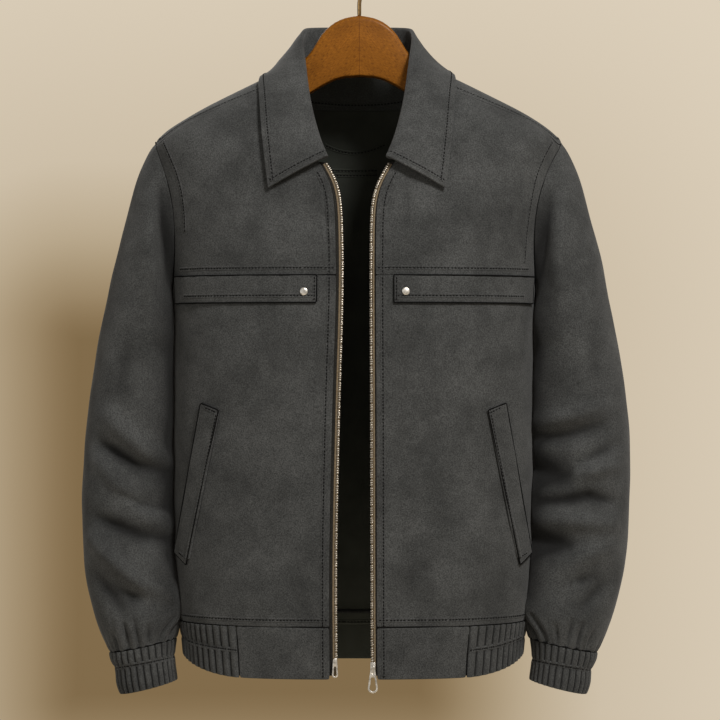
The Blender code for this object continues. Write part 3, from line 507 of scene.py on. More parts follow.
# %% [markdown]
# ## Edges to measure from
# Seams, teeth and stitches follow the edges of the panels. Their places could be written down, but
# then they would drift off a panel whose shape is changed, so they are measured on the solids. A
# solid is two broad skins joined by narrow rims, and its outer skin's border is the exact edge. It
# is kept as closed chains of rows, each a point and the way the cloth faces there.

# %% The rim of a panel
SHARP = radians(50)


def patches(mesh):
    """Faces in groups divided by sharp edges."""
    left, groups = set(mesh.faces), []
    while left:
        group = [left.pop()]
        for face in group:
            for edge in face.edges:
                if edge.calc_face_angle(0) < SHARP:
                    fresh = [other for other in edge.link_faces if other in left]
                    left.difference_update(fresh)
                    group.extend(fresh)
        groups.append(group)
    return groups


def outwardness(faces):
    """How far a skin faces away from the body's middle."""
    total = 0
    for face in faces:
        out = face.calc_center_median() - Vector((BODY_MIDDLE_X, 0, 0))
        out.z = 0
        total += face.normal.dot(out.normalized()) * face.calc_area()
    return total


def chains_through(edges):
    """Closed chains of points through the edges."""
    neighbours = {}
    for edge in edges:
        for vert in edge.verts:
            neighbours.setdefault(vert, set()).add(edge.other_vert(vert))
    seen, chains = set(), []
    for start in sorted(neighbours, key=lambda vert: vert.index):
        chain, onward = [], {start} - seen
        while onward:
            chain.append(min(onward, key=lambda vert: vert.index))
            seen.add(chain[-1])
            onward = neighbours[chain[-1]] - seen
        if len(chain) > 3:
            chains.append(chain)
    return chains


@cache
def rims_of(node):
    """The rims of a solid's outer skin: closed chains of rows."""
    piece = copy_of(node, "rim_probe")
    mesh = bmesh.new()
    mesh.from_mesh(piece.data)
    bpy.data.objects.remove(piece)
    skins = sorted(patches(mesh), key=lambda faces: -sum(face.calc_area() for face in faces))[:2]
    skin = set(max(skins, key=outwardness))
    border = [edge for face in skin for edge in face.edges if not skin.issuperset(edge.link_faces)]
    loops = []
    for chain in chains_through(border):
        normals = [sum((f.normal for f in vert.link_faces if f in skin), Vector()) for vert in chain]
        loops.append(np.array([(*v.co, *normal.normalized()) for v, normal in zip(chain, normals)]))
    mesh.free()
    return loops


def nearest_row(loop, pixel):
    """Index and distance of the row that the camera sees nearest to a pixel."""
    x, z = from_photo(pixel, loop[:, 1])
    off = (loop[:, 0] - x) ** 2 + (loop[:, 2] - z) ** 2 + 0.01 * (loop[:, 1] > 0.03)
    return int(off.argmin()), off.min()


def rim_between(node, *pixels):
    """The rim from pixel to pixel, each stretch by its shorter way round."""
    loop = min(rims_of(node), key=lambda rows: sum(nearest_row(rows, pixel)[1] for pixel in pixels))
    stops = [nearest_row(loop, pixel)[0] for pixel in pixels]
    count, run = len(loop), stops[:1]
    for a, b in zip(stops, stops[1:]):
        forward, backward = (b - a) % count, (a - b) % count
        turn = 1 if forward <= backward else -1
        run += [(a + turn * i) % count for i in range(1, min(forward, backward) + 1)]
    return loop[run]


def rim_where(node, keep):
    """The stretch of a panel's rim where keep(points) is true."""
    loop = rims_of(node)[0]
    kept = keep(loop[:, :3])
    start = int(np.flatnonzero(kept & ~np.roll(kept, 1))[0])
    return np.roll(loop, -start, axis=0)[np.roll(kept, -start)]


def height_of(rows):
    return rows[:, 2].mean()


# %% Round a chain of rows, and space it evenly
def rounded(rows, closed=False, rounds=3):
    """The curve that a subdivision surface's edge takes through its corners."""
    for _ in range(rounds):
        before, after = np.roll(rows, 1, axis=0), np.roll(rows, -1, axis=0)
        finer = np.empty((2 * len(rows), rows.shape[1]))
        finer[::2] = (before + 6 * rows + after) / 8
        finer[1::2] = (rows + after) / 2
        if not closed:
            finer[0], finer[-2] = rows[0], rows[-1]
            finer = finer[:-1]
        rows = finer
    return rows


def lengths_along(rows):
    return np.concatenate([[0], np.cumsum(np.linalg.norm(np.diff(rows[:, :3], axis=0), axis=1))])


def evenly(rows, step):
    """Rows at even steps along a chain, with both its ends."""
    lengths = lengths_along(rows)
    places = np.linspace(0, lengths[-1], max(2, int(round(lengths[-1] / step)) + 1))
    return np.stack([np.interp(places, lengths, column) for column in rows.T], axis=1)


def averaged(rows, reach):
    """Each row with the mean of its neighbours."""
    padded = np.pad(rows, ((reach, reach), (0, 0)), mode="edge")
    share = np.ones(2 * reach + 1) / (2 * reach + 1)
    return np.stack([np.convolve(column, share, "valid") for column in padded.T], axis=1)


def ways_along(places, closed=False):
    if closed:
        return unit(np.roll(places, -1, axis=0) - np.roll(places, 1, axis=0))
    return unit(np.gradient(places, axis=0))


def as_line(rows, closed=False):
    """[(place, normal, along)] from rows of a place and a normal."""
    places, normals = rows[:, :3], unit(rows[:, 3:])
    return [tuple(map(Vector, item)) for item in zip(places, normals, ways_along(places, closed))]


@cache
def surface_of(name):
    """A search tree over a piece's faces, as it is when first asked for."""
    return BVHTree.FromObject(bpy.data.objects[name], bpy.context.evaluated_depsgraph_get())


# %% [markdown]
# ## The body of the jacket
# Hung cloth is never quite flat. The fronts, the back and the hem band share one gentle unevenness,
# which depends only on the place in space, so panels that meet at a seam still meet after it. With
# a noise of its own on each panel, the seams would open.

# %% Body panels
CLOTH_PIECES = {}
EVENNESS, EVENNESS_SIZE, HEM_DROP = 0.0009, 0.055, 0.0024


def relax_body(piece):
    points = points_of(piece)
    out = body_out(points)
    depth = fold_depths(points, BODY_FOLDS, -0.112) * ease(0.2, 0.6, -out[:, 1])
    uneven = EVENNESS * cloudy(points, EVENNESS_SIZE, 3.1)
    set_points(piece, points + out * (uneven - depth)[:, None])
    # Painted shade in the body's folds, deeper folds getting more of it.
    paint_shade(piece, 0.3 * ease(0.0002, 0.0016, depth))
    line_inside(piece, body_out)


def dress(node, name, levels=3, material=CLOTH):
    """Copy, soften and finish one cloth solid."""
    piece = CLOTH_PIECES[name] = copy_of(node, name)
    soften(piece, levels)
    stand_for(piece, node, material)
    return piece


def lengthen(piece, share=lambda points: 1.0):
    """Draw a piece of the hem band down a little at its foot, as the fronts hang lowest."""
    points = points_of(piece)
    height = points[:, 2].copy()
    points[:, 2] -= share(points) * HEM_DROP * (height.max() - height) / np.ptp(height)
    set_points(piece, points)


FRONT_PANELS = [
    ("front_yoke", "yoke", 4), ("front_body", "front", 3), ("hem_front", "hem", 3),
    ("chest_strip", "strip", 3), ("pocket_welt", "welt", 3),
]
for side in SIDES:
    for node, name, levels in FRONT_PANELS:
        piece = dress(f"{node}_{side}", f"{name}_cloth_{side}", levels)
        if name == "hem":
            lengthen(piece)
        relax_body(piece)
relax_body(dress("back_panel", "back_cloth"))
relax_body(dress("hem_back", "hem_cloth_back"))
print("body panels:", len(CLOTH_PIECES))

# %% Collar, drawn in where it rolls over at the sides
ROLL_HEIGHTS = [-0.157, -0.149, -0.142, -0.135, -0.127, -0.111, -0.102, -0.093, -0.086]
ROLL_SPREAD = [0.0, -0.0016, -0.0028, -0.0016, -0.0008, -0.0024, -0.0026, -0.0036, -0.0036]
collar = dress("collar", "collar_cloth")
points = points_of(collar)
spread = np.interp(points[:, 2], ROLL_HEIGHTS, ROLL_SPREAD) * ease(0.056, 0.071, np.abs(points[:, 0]))
points[:, 0] += np.sign(points[:, 0]) * spread
set_points(collar, points)

# %% [markdown]
# ## Sleeves
# A sleeve folds most, because it is wide and hangs free. Besides the large folds, the cloth is
# gathered where it meets the elastic cuff, in many short ridges that run up from the seam and die
# out at different heights. A wave round the seam makes them all, with a slow noise in
# it that keeps them from looking counted. The six that the photo shows best are drawn as folds.

# %% Pleats above the cuffs
GATHER_DEPTH, GATHER_REACH = 0.0022, 0.024
CUFF_PLEATS = {
    "left": [
        (115, 651, 110, 634, 2.6, 2), (127.5, 648, 122, 624, 3.2, 2.3), (137, 646, 133, 620, 2.8, 2),
        (147.5, 643, 147.5, 626, 3, 2.2), (157.5, 641, 162, 620, 3, 2.2), (166, 639, 172, 622, 2.6, 2),
    ],
    "right": [
        (541, 640, 535, 622, 2.6, 2), (550, 642, 546, 618, 3, 2.2), (560, 644, 559, 626, 3, 2.2),
        (570, 646, 575, 620, 3, 2.2), (580, 649, 586, 624, 3.2, 2.3), (590, 652, 596, 634, 2.6, 2),
    ],
}


def gathers(points, out, seam_z):
    """Ridges round the foot of a sleeve, deepest at the seam."""
    angle = np.arctan2(out[:, 1], out[:, 0])
    wander = cloudy(np.stack([np.cos(angle), np.sin(angle), 0 * angle], axis=1), 0.35, 4.4)
    reach = np.maximum(GATHER_REACH * (0.8 + 0.7 * wander), 0.008)
    ripple = np.abs(np.cos((angle + 0.1 * wander) * 11.5)) ** 0.7 - 0.6
    return GATHER_DEPTH * ripple * np.exp(-np.clip(points[:, 2] - seam_z, 0, None) / reach)


# %% Bring a sleeve and the body together
HOOP_REACH, MOST_DRAWN, HOOP_GAP, LEAN_GAP, WALL = 0.022, 0.007, 0.0003, 0.0004, 0.0016


def drawn_to(surfaces, points, weights, gaps, most=1.0):
    """How points move to the nearest cloth, by their weights, until their gap is left."""
    moves = np.zeros_like(points)
    for index in np.nonzero(weights)[0]:
        point = Vector(points[index])
        hits = (surface.find_nearest(point) for surface in surfaces)
        place, _, _, distance = min(hits, key=lambda hit: hit[3])
        room = min(distance - gaps[index], most)
        if room > 0:
            moves[index] = (place - point) * (room / distance * weights[index])
    return moves


def drawn_edge(points, loop, surfaces):
    """Moves that let an edge meet its neighbours, fading with distance from its loop."""
    tree = kdtree.KDTree(len(loop))
    for index, row in enumerate(loop):
        tree.insert(row[:3], index)
    tree.balance()
    away = np.array([tree.find(point)[2] for point in points])
    weights = np.clip(1 - away / HOOP_REACH, 0, None) ** 2
    return drawn_to(surfaces, points, weights, np.full(len(points), HOOP_GAP), MOST_DRAWN)


def leaned_on(points, out, normals, surfaces, side):
    """Moves that lay the inner side of a sleeve against the body."""
    weights = ease(0.35, 0.85, out[:, 0] * (1 if side == "left" else -1))
    weights *= ease(-0.775, -0.735, points[:, 2]) * (1 - ease(-0.42, -0.36, points[:, 2]))
    weights[weights <= 0.01] = 0
    inner_wall = np.sum(normals * out, axis=1) < 0
    return drawn_to(surfaces, points, weights, LEAN_GAP + WALL * inner_wall)


# %% Sleeves
ARMHOLES, CUFF_MOVES = {}, {"left": 0.0022, "right": -0.0038}


def sleeve_middle(points):
    """The middle line of a sleeve, (heights, points), from slices of its mesh."""
    heights = np.linspace(-0.76, -0.34, 15)
    slices = [points[np.abs(points[:, 2] - z) < 0.02] for z in heights]
    return heights, np.array([(s.max(0) + s.min(0)) / 2 for s in slices])


def sleeve_out(points, middle):
    heights, line = middle
    z = np.clip(points[:, 2], heights[0], heights[-1])
    centre = np.stack([np.interp(z, heights, line[:, k]) for k in (0, 1)] + [z], axis=1)
    return unit(points - centre)


def hanging_in(points, side):
    """Points near a cuff, moved a few millimetres as the photo shows it."""
    moved = points.copy()
    moved[:, 0] += CUFF_MOVES[side] * (1 - ease(-0.765, -0.69, points[:, 2]))
    return moved


for side in SIDES:
    sleeve = dress(f"sleeve_{side}", f"sleeve_cloth_{side}")
    points = points_of(sleeve)
    middle = sleeve_middle(points)
    out, low = sleeve_out(points, middle), points[:, 2].min()
    away = np.abs(points[:, 0])
    seam_z = low + 0.016 * ease(0.0, 1.0, (away.max() - away) / 0.075)
    in_front = ease(-0.05, 0.55, -out[:, 1])
    off_seams = ease(low + 0.004, low + 0.035, points[:, 2])
    depth = fold_depths(points, SLEEVE_FOLDS[side], -0.05) * in_front * off_seams
    depth += fold_depths(points, CUFF_PLEATS[side], -0.05) * in_front
    behind = np.array(SLEEVE_FOLDS[side][:12]) + (0, 14, 0, 14, 0, 0)
    depth += fold_depths(points, behind, 0.05) * ease(0.1, 0.6, out[:, 1]) * off_seams
    soft = 0.0012 * cloudy(points, 0.045, 5.7) * off_seams
    points = points + out * (soft - 1.55 * depth + gathers(points, out, seam_z))[:, None]
    body = [surface_of(name) for name in ("back_cloth", f"yoke_cloth_{side}", f"front_cloth_{side}")]
    points = points + leaned_on(points, out, normals_of(sleeve), body, side)
    armhole = rounded(max(rims_of(f"sleeve_{side}"), key=height_of), True)
    points = points + drawn_edge(points, armhole, body)
    set_points(sleeve, hanging_in(points, side))
    # Painted shade in the sleeve's folds and pleats, and a band of painted shade down its inner side
    # next to the body.
    beside = fold_depths(points, PAINTED_SIDE_SHADE[side], -0.05) * in_front
    paint_shade(sleeve, 0.85 * ease(0.0002, 0.0055, depth) + beside)
    armhole[:, :3] += drawn_edge(armhole[:, :3], armhole, body)
    ARMHOLES[side] = armhole[::2]
    line_inside(sleeve, lambda centres: sleeve_out(centres, middle))
    print(sleeve.name, "deepest fold in mm:", round(1550 * float(depth.max()), 1))

# %% [markdown]
# ## Ribbed elastic
# The cuffs and the sides of the hem are elastic covered by cloth, so the cloth stands in rounded
# ribs with narrow grooves between them, and one row of stitches round the middle pulls them in.
# The solids hold the ribs' number and places: every other column of points lies in a groove. A
# plain wave would miss those places, so the angles of the columns are measured first, and the
# copies get the ribs' true section in step with them.


# %% Ribs
RIB_DEPTH, PINCH_DEPTH, PINCH_BREADTH = 0.0036, 0.0006, 0.002


def rib_phases(rows, centre, closed):
    """(angles, phases) of a ribbed edge's columns, with whole phases in the grooves."""
    away = rows[:, :2] - centre[:2]
    angles, far = np.arctan2(away[:, 1], away[:, 0]), np.hypot(away[:, 0], away[:, 1])
    if not closed:
        angles = np.where(centre[0] - rows[:, 0].mean() > 0, np.mod(angles, 2 * pi), angles)
    order = np.argsort(angles)
    angles, far = angles[order], far[order]
    stands_out = far - (np.roll(far, 1) + np.roll(far, -1)) / 2
    even_out = stands_out[2:-2:2].mean() > stands_out[3:-2:2].mean()
    phases = (np.arange(len(angles)) + (1 if even_out else 0)) / 2
    if closed:
        angles = np.concatenate([angles[-3:] - 2 * pi, angles, angles[:3] + 2 * pi])
        phases = np.concatenate([phases[:3] - 1.5, phases, phases[-3:] + 1.5])
    return angles, phases


def raise_ribs(piece, out, angle_at, places, middle_z):
    """Give an outer wall its ribs, press both walls in at the middle, and paint shade into the grooves
    and the pinch.
    """
    points = points_of(piece)
    outward = out(points)
    outer = ease(-0.2, 0.5, np.sum(normals_of(piece) * outward, axis=1))
    rise = np.abs(np.sin(pi * np.interp(angle_at(points), *places))) ** 0.42
    pinch = np.exp(-(((points[:, 2] - middle_z(points[:, 0])) / PINCH_BREADTH) ** 2))
    moved = RIB_DEPTH * (rise - 0.74) * outer * (1 - 0.5 * pinch) - PINCH_DEPTH * pinch
    set_points(piece, points + outward * moved[:, None])
    # Painted shade in the grooves between the ribs and along the pinch of the stitches.
    paint_shade(piece, outer * (1.1 * ease(0.1, 0.75, 1 - rise) + 0.35 * pinch))
    line_inside(piece, out)


# %% Sides of the hem
def hem_middle(x):
    return -0.7794 + 0.0085 * ease(0.13, 0.2, np.abs(x))


def beside_front(points):
    """1 at a rib's front edge, and less towards the side."""
    away = np.abs(points)
    return ease(0, 0.06, away[:, 1]) * (1 - ease(0, 0.05, away[:, 0] - away[:, 0].min()))


for side in SIDES:
    piece = dress(f"hem_rib_{side}", f"hem_rib_cloth_{side}")
    lengthen(piece, beside_front)
    rows = rims_of(f"hem_rib_{side}")[0]
    places = rib_phases(rows[rows[:, 2] > height_of(rows)], np.array([BODY_MIDDLE_X, 0.0]), False)

    def angle_at(points):
        angles = np.arctan2(points[:, 1], points[:, 0] - BODY_MIDDLE_X)
        return np.mod(angles, 2 * pi) if side == "left" else angles

    raise_ribs(piece, body_out, angle_at, places, hem_middle)

# %% Cuffs: (x, z, slope) of their middles
CUFF_MIDDLES = {"left": (-0.2368, -0.7973, 0.187), "right": (0.2233, -0.8006, -0.18)}
for side in SIDES:
    piece = dress(f"cuff_{side}", f"cuff_cloth_{side}")
    loops = sorted(rims_of(f"cuff_{side}"), key=height_of)
    low, high = (loop[:, :3].mean(axis=0) for loop in (loops[0], loops[-1]))
    x, z, slope = CUFF_MIDDLES[side]

    def from_middle(points):
        t = (points[:, 2:] - low[2]) / (high[2] - low[2])
        return points - (low + t * (high - low))

    def cuff_out(points):
        return unit(from_middle(points) * (1, 1, 0))

    def angle_at(points):
        away = from_middle(points)
        return np.arctan2(away[:, 1], away[:, 0])

    places = rib_phases(loops[-1], high, True)
    raise_ribs(piece, cuff_out, angle_at, places, lambda xs: z + slope * (xs - x))
    set_points(piece, hanging_in(points_of(piece), side))
    print(piece.name, "ribs:", len(loops[-1]) / 2)

# %% [markdown]
# ## Inside
# What shows through the open front is the lining of the back, in a smoother and darker weave, and
# the facing at the neck. They lie in the shade, so they are softened and get no folds of their own.

# %% Lining
dress("lining_back", "lining_cloth", 3, LINING)
dress("neck_facing", "neck_facing_cloth", 3, FACING)

# %% [markdown]
# ## Lines of sewing
# A topstitched seam is more than thread. The stitches pull the cloth down into a furrow, with a
# low rounded ridge on both sides. Pressing it into the cloth would need a far finer mesh, so a
# ribbon with the furrow's section is laid on instead, and the stitches go into its furrow. Every
# line starts from the rim of the panel's own solid, is rounded and moved in by the seam's width,
# and is put down on the softened cloth.

# %% Lay a line on the cloth
STEP = 0.0012


def laid(rows, name, inset, cut_ends=(0, 0)):
    """A line on a piece of cloth, moved in from the rim by inset."""
    surface = surface_of(name)
    rows = evenly(rounded(rows), STEP)
    places, normals = rows[:, :3], unit(averaged(rows[:, 3:], 6))
    across = np.cross(averaged(ways_along(places), 4), normals)
    votes = 0
    for place, way in zip(places[::4], across[::4]):
        near, far = (surface.find_nearest(Vector(place + way * s * 0.004))[3] for s in (1, -1))
        votes += 1 if near < far else -1
    goals = places + unit(across) * (inset if votes > 0 else -inset) + normals * 0.0004
    hits = [surface.find_nearest(Vector(goal)) for goal in goals]
    places = averaged(np.array([tuple(hit[0]) for hit in hits]), 3)
    faced = [tuple(h[1] if h[1].dot(Vector(n)) > 0.5 else n) for h, n in zip(hits, normals)]
    first, last = (int(cut / STEP) for cut in cut_ends)
    return as_line(np.hstack([places, averaged(np.array(faced), 5)])[first : len(places) - last])


def drawn(name, *pixels, behind=False):
    """A line where the camera, or a look straight on from behind, meets pixels on a piece."""
    chain = rounded(np.array([(x, y, 0.0) for x, y in pixels]))
    hits = []
    for pixel in evenly(chain, STEP / photo_scale(-0.1)):
        if behind:
            x, z = from_photo(pixel, 0.09)
            start, way = Vector((x, 1.0, z)), Vector((0, -1, 0))
        else:
            x, z = from_photo(pixel)
            start, way = EYE, Vector((x, -0.1, z)) - EYE
        place, normal, _, _ = surface_of(name).ray_cast(start, way)
        if place is not None:
            hits.append((*place, *normal))
    hits = np.array(hits)
    return as_line(np.hstack([averaged(hits[:, :3], 2), averaged(hits[:, 3:], 4)]))


# %% [markdown]
# One stitch is a short, fat capsule, modelled as a sphere that is stretched along the seam. It is
# modelled once, with few faces because thousands are needed, and copied along each line. All the
# stitches of a piece are one mesh.

# %% Model one stitch
STITCH_LENGTH, STITCH_WIDTH, STITCH_PITCH, ELASTIC_PITCH = 0.0027, 0.0015, 0.0038, 0.003


def as_template(piece):
    """(points, faces) of a small mesh to copy, which is then removed."""
    template = points_of(piece), [tuple(face.vertices) for face in piece.data.polygons]
    bpy.data.objects.remove(piece)
    return template


bpy.ops.mesh.primitive_uv_sphere_add(segments=8, ring_count=6, radius=0.5)
set_mode("EDIT")
bpy.ops.transform.rotate(value=pi / 2, orient_axis="Y", center_override=(0, 0, 0))
bpy.ops.transform.resize(value=(STITCH_LENGTH, STITCH_WIDTH, STITCH_WIDTH * 0.8))
set_mode("OBJECT")
STITCH = as_template(bpy.context.object)
print("faces in a stitch:", len(STITCH[1]))


# %% Copy a small mesh along a line
def placed_copies(template, places):
    """A small mesh copied to places, each (point, normal, along)."""
    shape, faces = template
    parts = []
    for point, normal, along in places:
        across = normal.cross(along).normalized()
        turn = np.array([tuple(along), tuple(across), tuple(along.cross(across).normalized())])
        parts.append((shape @ turn + np.array(tuple(point)), faces))
    return joined_mesh(parts)


def joined_mesh(parts):
    """One mesh from several, each (points, faces)."""
    points, faces, start = [], [], 0
    for part_points, part_faces in parts:
        points.append(part_points)
        faces += [tuple(start + corner for corner in face) for face in part_faces]
        start += len(part_points)
    return np.concatenate(points), faces


def new_piece(name, points, faces, material):
    data = bpy.data.meshes.new(name)
    data.from_pydata([tuple(point) for point in points], [], faces)
    data.update()
    piece = bpy.data.objects.new(name, data)
    bpy.context.scene.collection.objects.link(piece)
    finish_with(piece, material)
    only(piece)
    bpy.ops.object.shade_smooth()
    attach(piece, "garment")
    return piece


# %% Sweep a section along a line
def lofted(rings, closed=False):
    """Points and faces through rings of points, with caps unless it closes on itself."""
    faces, count, last = [], len(rings[0]), len(rings) - 1
    for i in range(last + closed):
        for j in range(count):
            k, after = (j + 1) % count, (i + 1) % len(rings)
            faces.append((i * count + j, i * count + k, after * count + k, after * count + j))
    if not closed:
        faces += [tuple(range(count))[::-1], tuple(last * count + j for j in range(count))]
    return np.array([tuple(point) for ring in rings for point in ring]), faces


def swept(line, section, closed=False):
    """A tube whose section is a ring of (across, up) points."""
    rings = []
    for point, normal, along in line:
        across = normal.cross(along).normalized()
        rings.append([point + across * sideways + normal * up for sideways, up in section])
    return lofted(rings, closed)


def oval(across, up, rise=0.0):
    """Eight points round an oval section, lifted by rise."""
    return [(across * cos(a), up * sin(a) + rise) for a in np.linspace(0, 2 * pi, 9)[:-1]]


RIDGE = [(0.0007, 0.00025), (0.0014, 0.00055), (0.0022, 0.00025), (0.003, -0.0005)]
FURROW = [(-x, z) for x, z in RIDGE[::-1]] + [(0.0, -0.0002), *RIDGE, (0.0, -0.001)]
SEAM_CORD, EDGE_CORD = oval(0.0009, 0.0009, -0.001), oval(0.0008, 0.0008, -0.0008)
SEWN, ON_CLOTH, SHADE_CORDS = {}, {}, []


def along_at(line, start, end, pitch):
    """A line's items at a regular pitch, from start to so far from its end."""
    lengths = lengths_along(np.array([tuple(item[0]) for item in line]))
    places = np.arange(start, lengths[-1] - end, pitch)
    return [line[index] for index in np.searchsorted(lengths, places)]


def sew(name, line, pitch=STITCH_PITCH):
    """Keep a furrow and its stitches for a piece of cloth."""
    furrows, stitches = SEWN.setdefault(name, ([], []))
    furrows.append(swept(line, FURROW))
    for point, normal, along in along_at(line, pitch / 2, 0, pitch):
        stitches.append((point + normal * 0.0002, normal, along))


def fill_seam(rows, closed=False):
    """A cord under a seam that closes its gap, as the turned-in edges do, coloured near black as
    painted shade in the seam.
    """
    if not closed:
        rows = evenly(rounded(rows), 0.004)
    SHADE_CORDS.append(swept(as_line(rows, closed), SEAM_CORD, closed))


# %% [markdown]
# Where each line runs is read from the photo: pixels near the corners of the panels. The nearest
# point of the rim is looked for, so a pixel may be a little off. Lines that follow no rim, such as
# the ones beside the armholes, are drawn point by point.

# %% Sew the fronts, yokes and strips
SEAM_INSET, EDGE_INSET, END_INSET = 0.0075, 0.0073, 0.0024
COLLAR_INSET, SHOULDER_INSET = 0.0068, 0.007
FRONT_X = {"left": (334, 329, 177), "right": (376, 377, 529)}
NECK = {"left": (322, 162), "right": (391, 162)}
STRIP_ENDS = {"left": ((316, 303), (181, 302)), "right": ((394, 303), (525, 302))}
for side in SIDES:
    edge_x, foot_x, side_x = FRONT_X[side]
    end, far = STRIP_ENDS[side]
    chest, foot, top = (edge_x, 275), (foot_x, 627), (end[0], 277)
    for node, name, inset, start, stop, cut in (
        ("front_yoke", "yoke_cloth", SEAM_INSET, chest, (side_x, 275), (0.001, 0.001)),
        ("front_yoke", "yoke_cloth", EDGE_INSET, chest, NECK[side], (0.001, 0.012)),
        ("front_body", "front_cloth", EDGE_INSET, (edge_x - 2, 277), foot, (0.001, 0.001)),
        ("front_body", "front_cloth", SEAM_INSET, foot, (side_x - 1, 617), (0.001, 0)),
        ("hem_front", "hem_cloth", EDGE_INSET, (foot_x, 629), (foot_x, 678), (0.001, 0.001)),
        ("chest_strip", "strip_cloth", SEAM_INSET, end, far, (END_INSET, 0)),
        ("chest_strip", "strip_cloth", END_INSET, top, end, (0, END_INSET)),
    ):
        name = f"{name}_{side}"
        sew(name, laid(rim_between(f"{node}_{side}", start, stop), name, inset, cut))

# %% Sew the collar and the shoulders
COLLAR_CORNERS = {
    "left": ((322.7, 160), (269, 187), (262, 72)), "right": ((386.5, 160), (446.6, 188), (451, 72)),
}
SHOULDERS = {"left": ((272, 86), (158, 142)), "right": ((445, 86), (560, 141))}
for side in SIDES:
    front, tip, back = COLLAR_CORNERS[side]
    for ends, cut in (((front, tip), (0.003, COLLAR_INSET)), ((tip, back), (COLLAR_INSET, 0))):
        sew("collar_cloth", laid(rim_between("collar", *ends), "collar_cloth", COLLAR_INSET, cut))
    seam = rim_between("back_panel", *SHOULDERS[side])
    sew("back_cloth", laid(seam, "back_cloth", SHOULDER_INSET, (0.002, 0.006)))

# %% Sew what is drawn on the photo: armholes, pocket welts, the back, the inside and the elastic
ARMHOLE_LINES = [
    ("yoke_cloth_left", (163, 141.5), (169.3, 155.6), (174.6, 168.3), (179, 181), (182.5, 197),
     (184.5, 216), (184.8, 232)),
    ("yoke_cloth_right", (553, 141), (546.5, 152), (540, 166), (534.8, 181), (530, 207.6),
     (526.3, 235), (524.5, 264)),
]
WELT_CORNERS = {
    "left": ((204.2, 407.4), (216.4, 412.6), (186.6, 559.4), (179.0, 553.0)),
    "right": ((501.5, 407.2), (490.6, 412.6), (519.0, 558.0), (527.6, 552.4)),
}
WELT_LINES = [(f"welt_cloth_{s}", *WELT_CORNERS[s][i : i + 2]) for s in SIDES for i in range(3)]
BACK_LINES = [
    ("back_cloth", (190, 607), (270, 612), (360, 613), (440, 612), (518, 607)),
    ("hem_cloth_back", (246, 622.5), (360, 623), (462, 622.5)),
]
INSIDE_LINES = [
    ("neck_facing_cloth", (306, 101.5), (333, 104.8), (358, 105.4), (383, 104.8), (407, 101)),
    ("lining_cloth", (324, 145), (338, 151.5), (353, 154), (370, 151.5), (385, 145)),
    ("lining_cloth", (330, 170.5), (353, 171.5), (378, 170.5)),
    ("lining_cloth", (331, 175), (353, 176), (377, 175)),
    ("lining_cloth", (336, 621.5), (353, 622), (373, 621.5)),
]
ELASTIC_LINES = [
    ("hem_rib_cloth_left", (186, 639.5), (192, 642.7), (214, 647.6), (237.5, 650.3)),
    ("hem_rib_cloth_right", (522, 637), (517, 639.6), (496, 647), (470.5, 650.3)),
    ("cuff_cloth_left", (116, 668), (145, 663.5), (174, 657)),
    ("cuff_cloth_right", (531.2, 660), (562, 666), (591.5, 670.7)),
]
for lines in (ARMHOLE_LINES, WELT_LINES, ELASTIC_LINES, BACK_LINES, INSIDE_LINES):
    pitch = ELASTIC_PITCH if lines is ELASTIC_LINES else STITCH_PITCH
    for name, *pixels in lines:
        sew(name, drawn(name, *pixels, behind=lines is BACK_LINES), pitch)

# %% Outline what lies on the fronts, and close the seams from within, with cords of painted shade
for side in SIDES:
    for node in (f"pocket_welt_{side}", f"chest_strip_{side}"):
        rows = rims_of(node)[0]
        rows = evenly(np.vstack([rows, rows[:1]]), 0.0025)[:-1]
        SHADE_CORDS.append(swept(as_line(rows, True), EDGE_CORD, True))
for side in SIDES:
    (edge_x, foot_x, side_x), way = FRONT_X[side], 1 if side == "right" else -1
    fill_seam(rim_between(f"front_yoke_{side}", (edge_x, 275), (side_x, 275)))
    fill_seam(rim_between(f"front_body_{side}", (foot_x, 627), (side_x - 1, 617), (side_x, 302)))
    fill_seam(rim_between("back_panel", *SHOULDERS[side]))
    fill_seam(rim_between(f"hem_front_{side}", (foot_x + 85 * way, 625), (foot_x + 91 * way, 676)))
    fill_seam(ARMHOLES[side], True)
    fill_seam(hanging_in(rounded(min(rims_of(f"sleeve_{side}"), key=height_of), True, 2), side), True)
    inner_x = min(abs(corner.x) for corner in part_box(f"hem_rib_{side}")) + 0.003
    fill_seam(rim_where(f"hem_rib_{side}", lambda p: (p[:, 1] < -0.06) & (np.abs(p[:, 0]) < inner_x)))
fill_seam(rim_where("back_panel", lambda p: p[:, 2] < -0.72))
fill_seam(rim_where("hem_back", lambda p: p[:, 0] > p[:, 0].max() - 0.003))
fill_seam(rim_where("hem_back", lambda p: p[:, 0] < p[:, 0].min() + 0.003))

# %% Make the sewing
for name, (furrows, stitches) in SEWN.items():
    cloth = CLOTH_PIECES[name].data.materials[0]
    ON_CLOTH[name] = [
        new_piece(f"furrow_{name}", *joined_mesh(furrows), cloth),
        new_piece(f"stitches_{name}", *placed_copies(STITCH, stitches), THREAD),
    ]
# One piece for the cords of painted shade in the seams and round the welts and strips.
new_piece("seam_shade_fillings", *joined_mesh(SHADE_CORDS), SEAM_PAINTED_SHADE)
print("sewn pieces:", len(SEWN), "filled seams:", len(SHADE_CORDS))

# %% [markdown]
# ## Zip
# A metal zip's teeth are clamped on the edge of its tape, one every two and a half millimetres or
# so. One tooth is a small block with bevelled edges, which catch the light, and is copied down each
# tape. A thin beige piping shows beside the teeth, swept along the same edge.

# %% Model one tooth
TOOTH_ACROSS, TOOTH_THICK, TOOTH_ALONG, TOOTH_PITCH = 0.0029, 0.0014, 0.0018, 0.00272
bpy.ops.mesh.primitive_cube_add(size=1)
set_mode("EDIT")
bpy.ops.transform.resize(value=(TOOTH_ALONG, TOOTH_ACROSS, TOOTH_THICK))
bpy.ops.mesh.bevel(offset=0.00035, segments=1, affect="EDGES")
set_mode("OBJECT")
TOOTH = as_template(bpy.context.object)

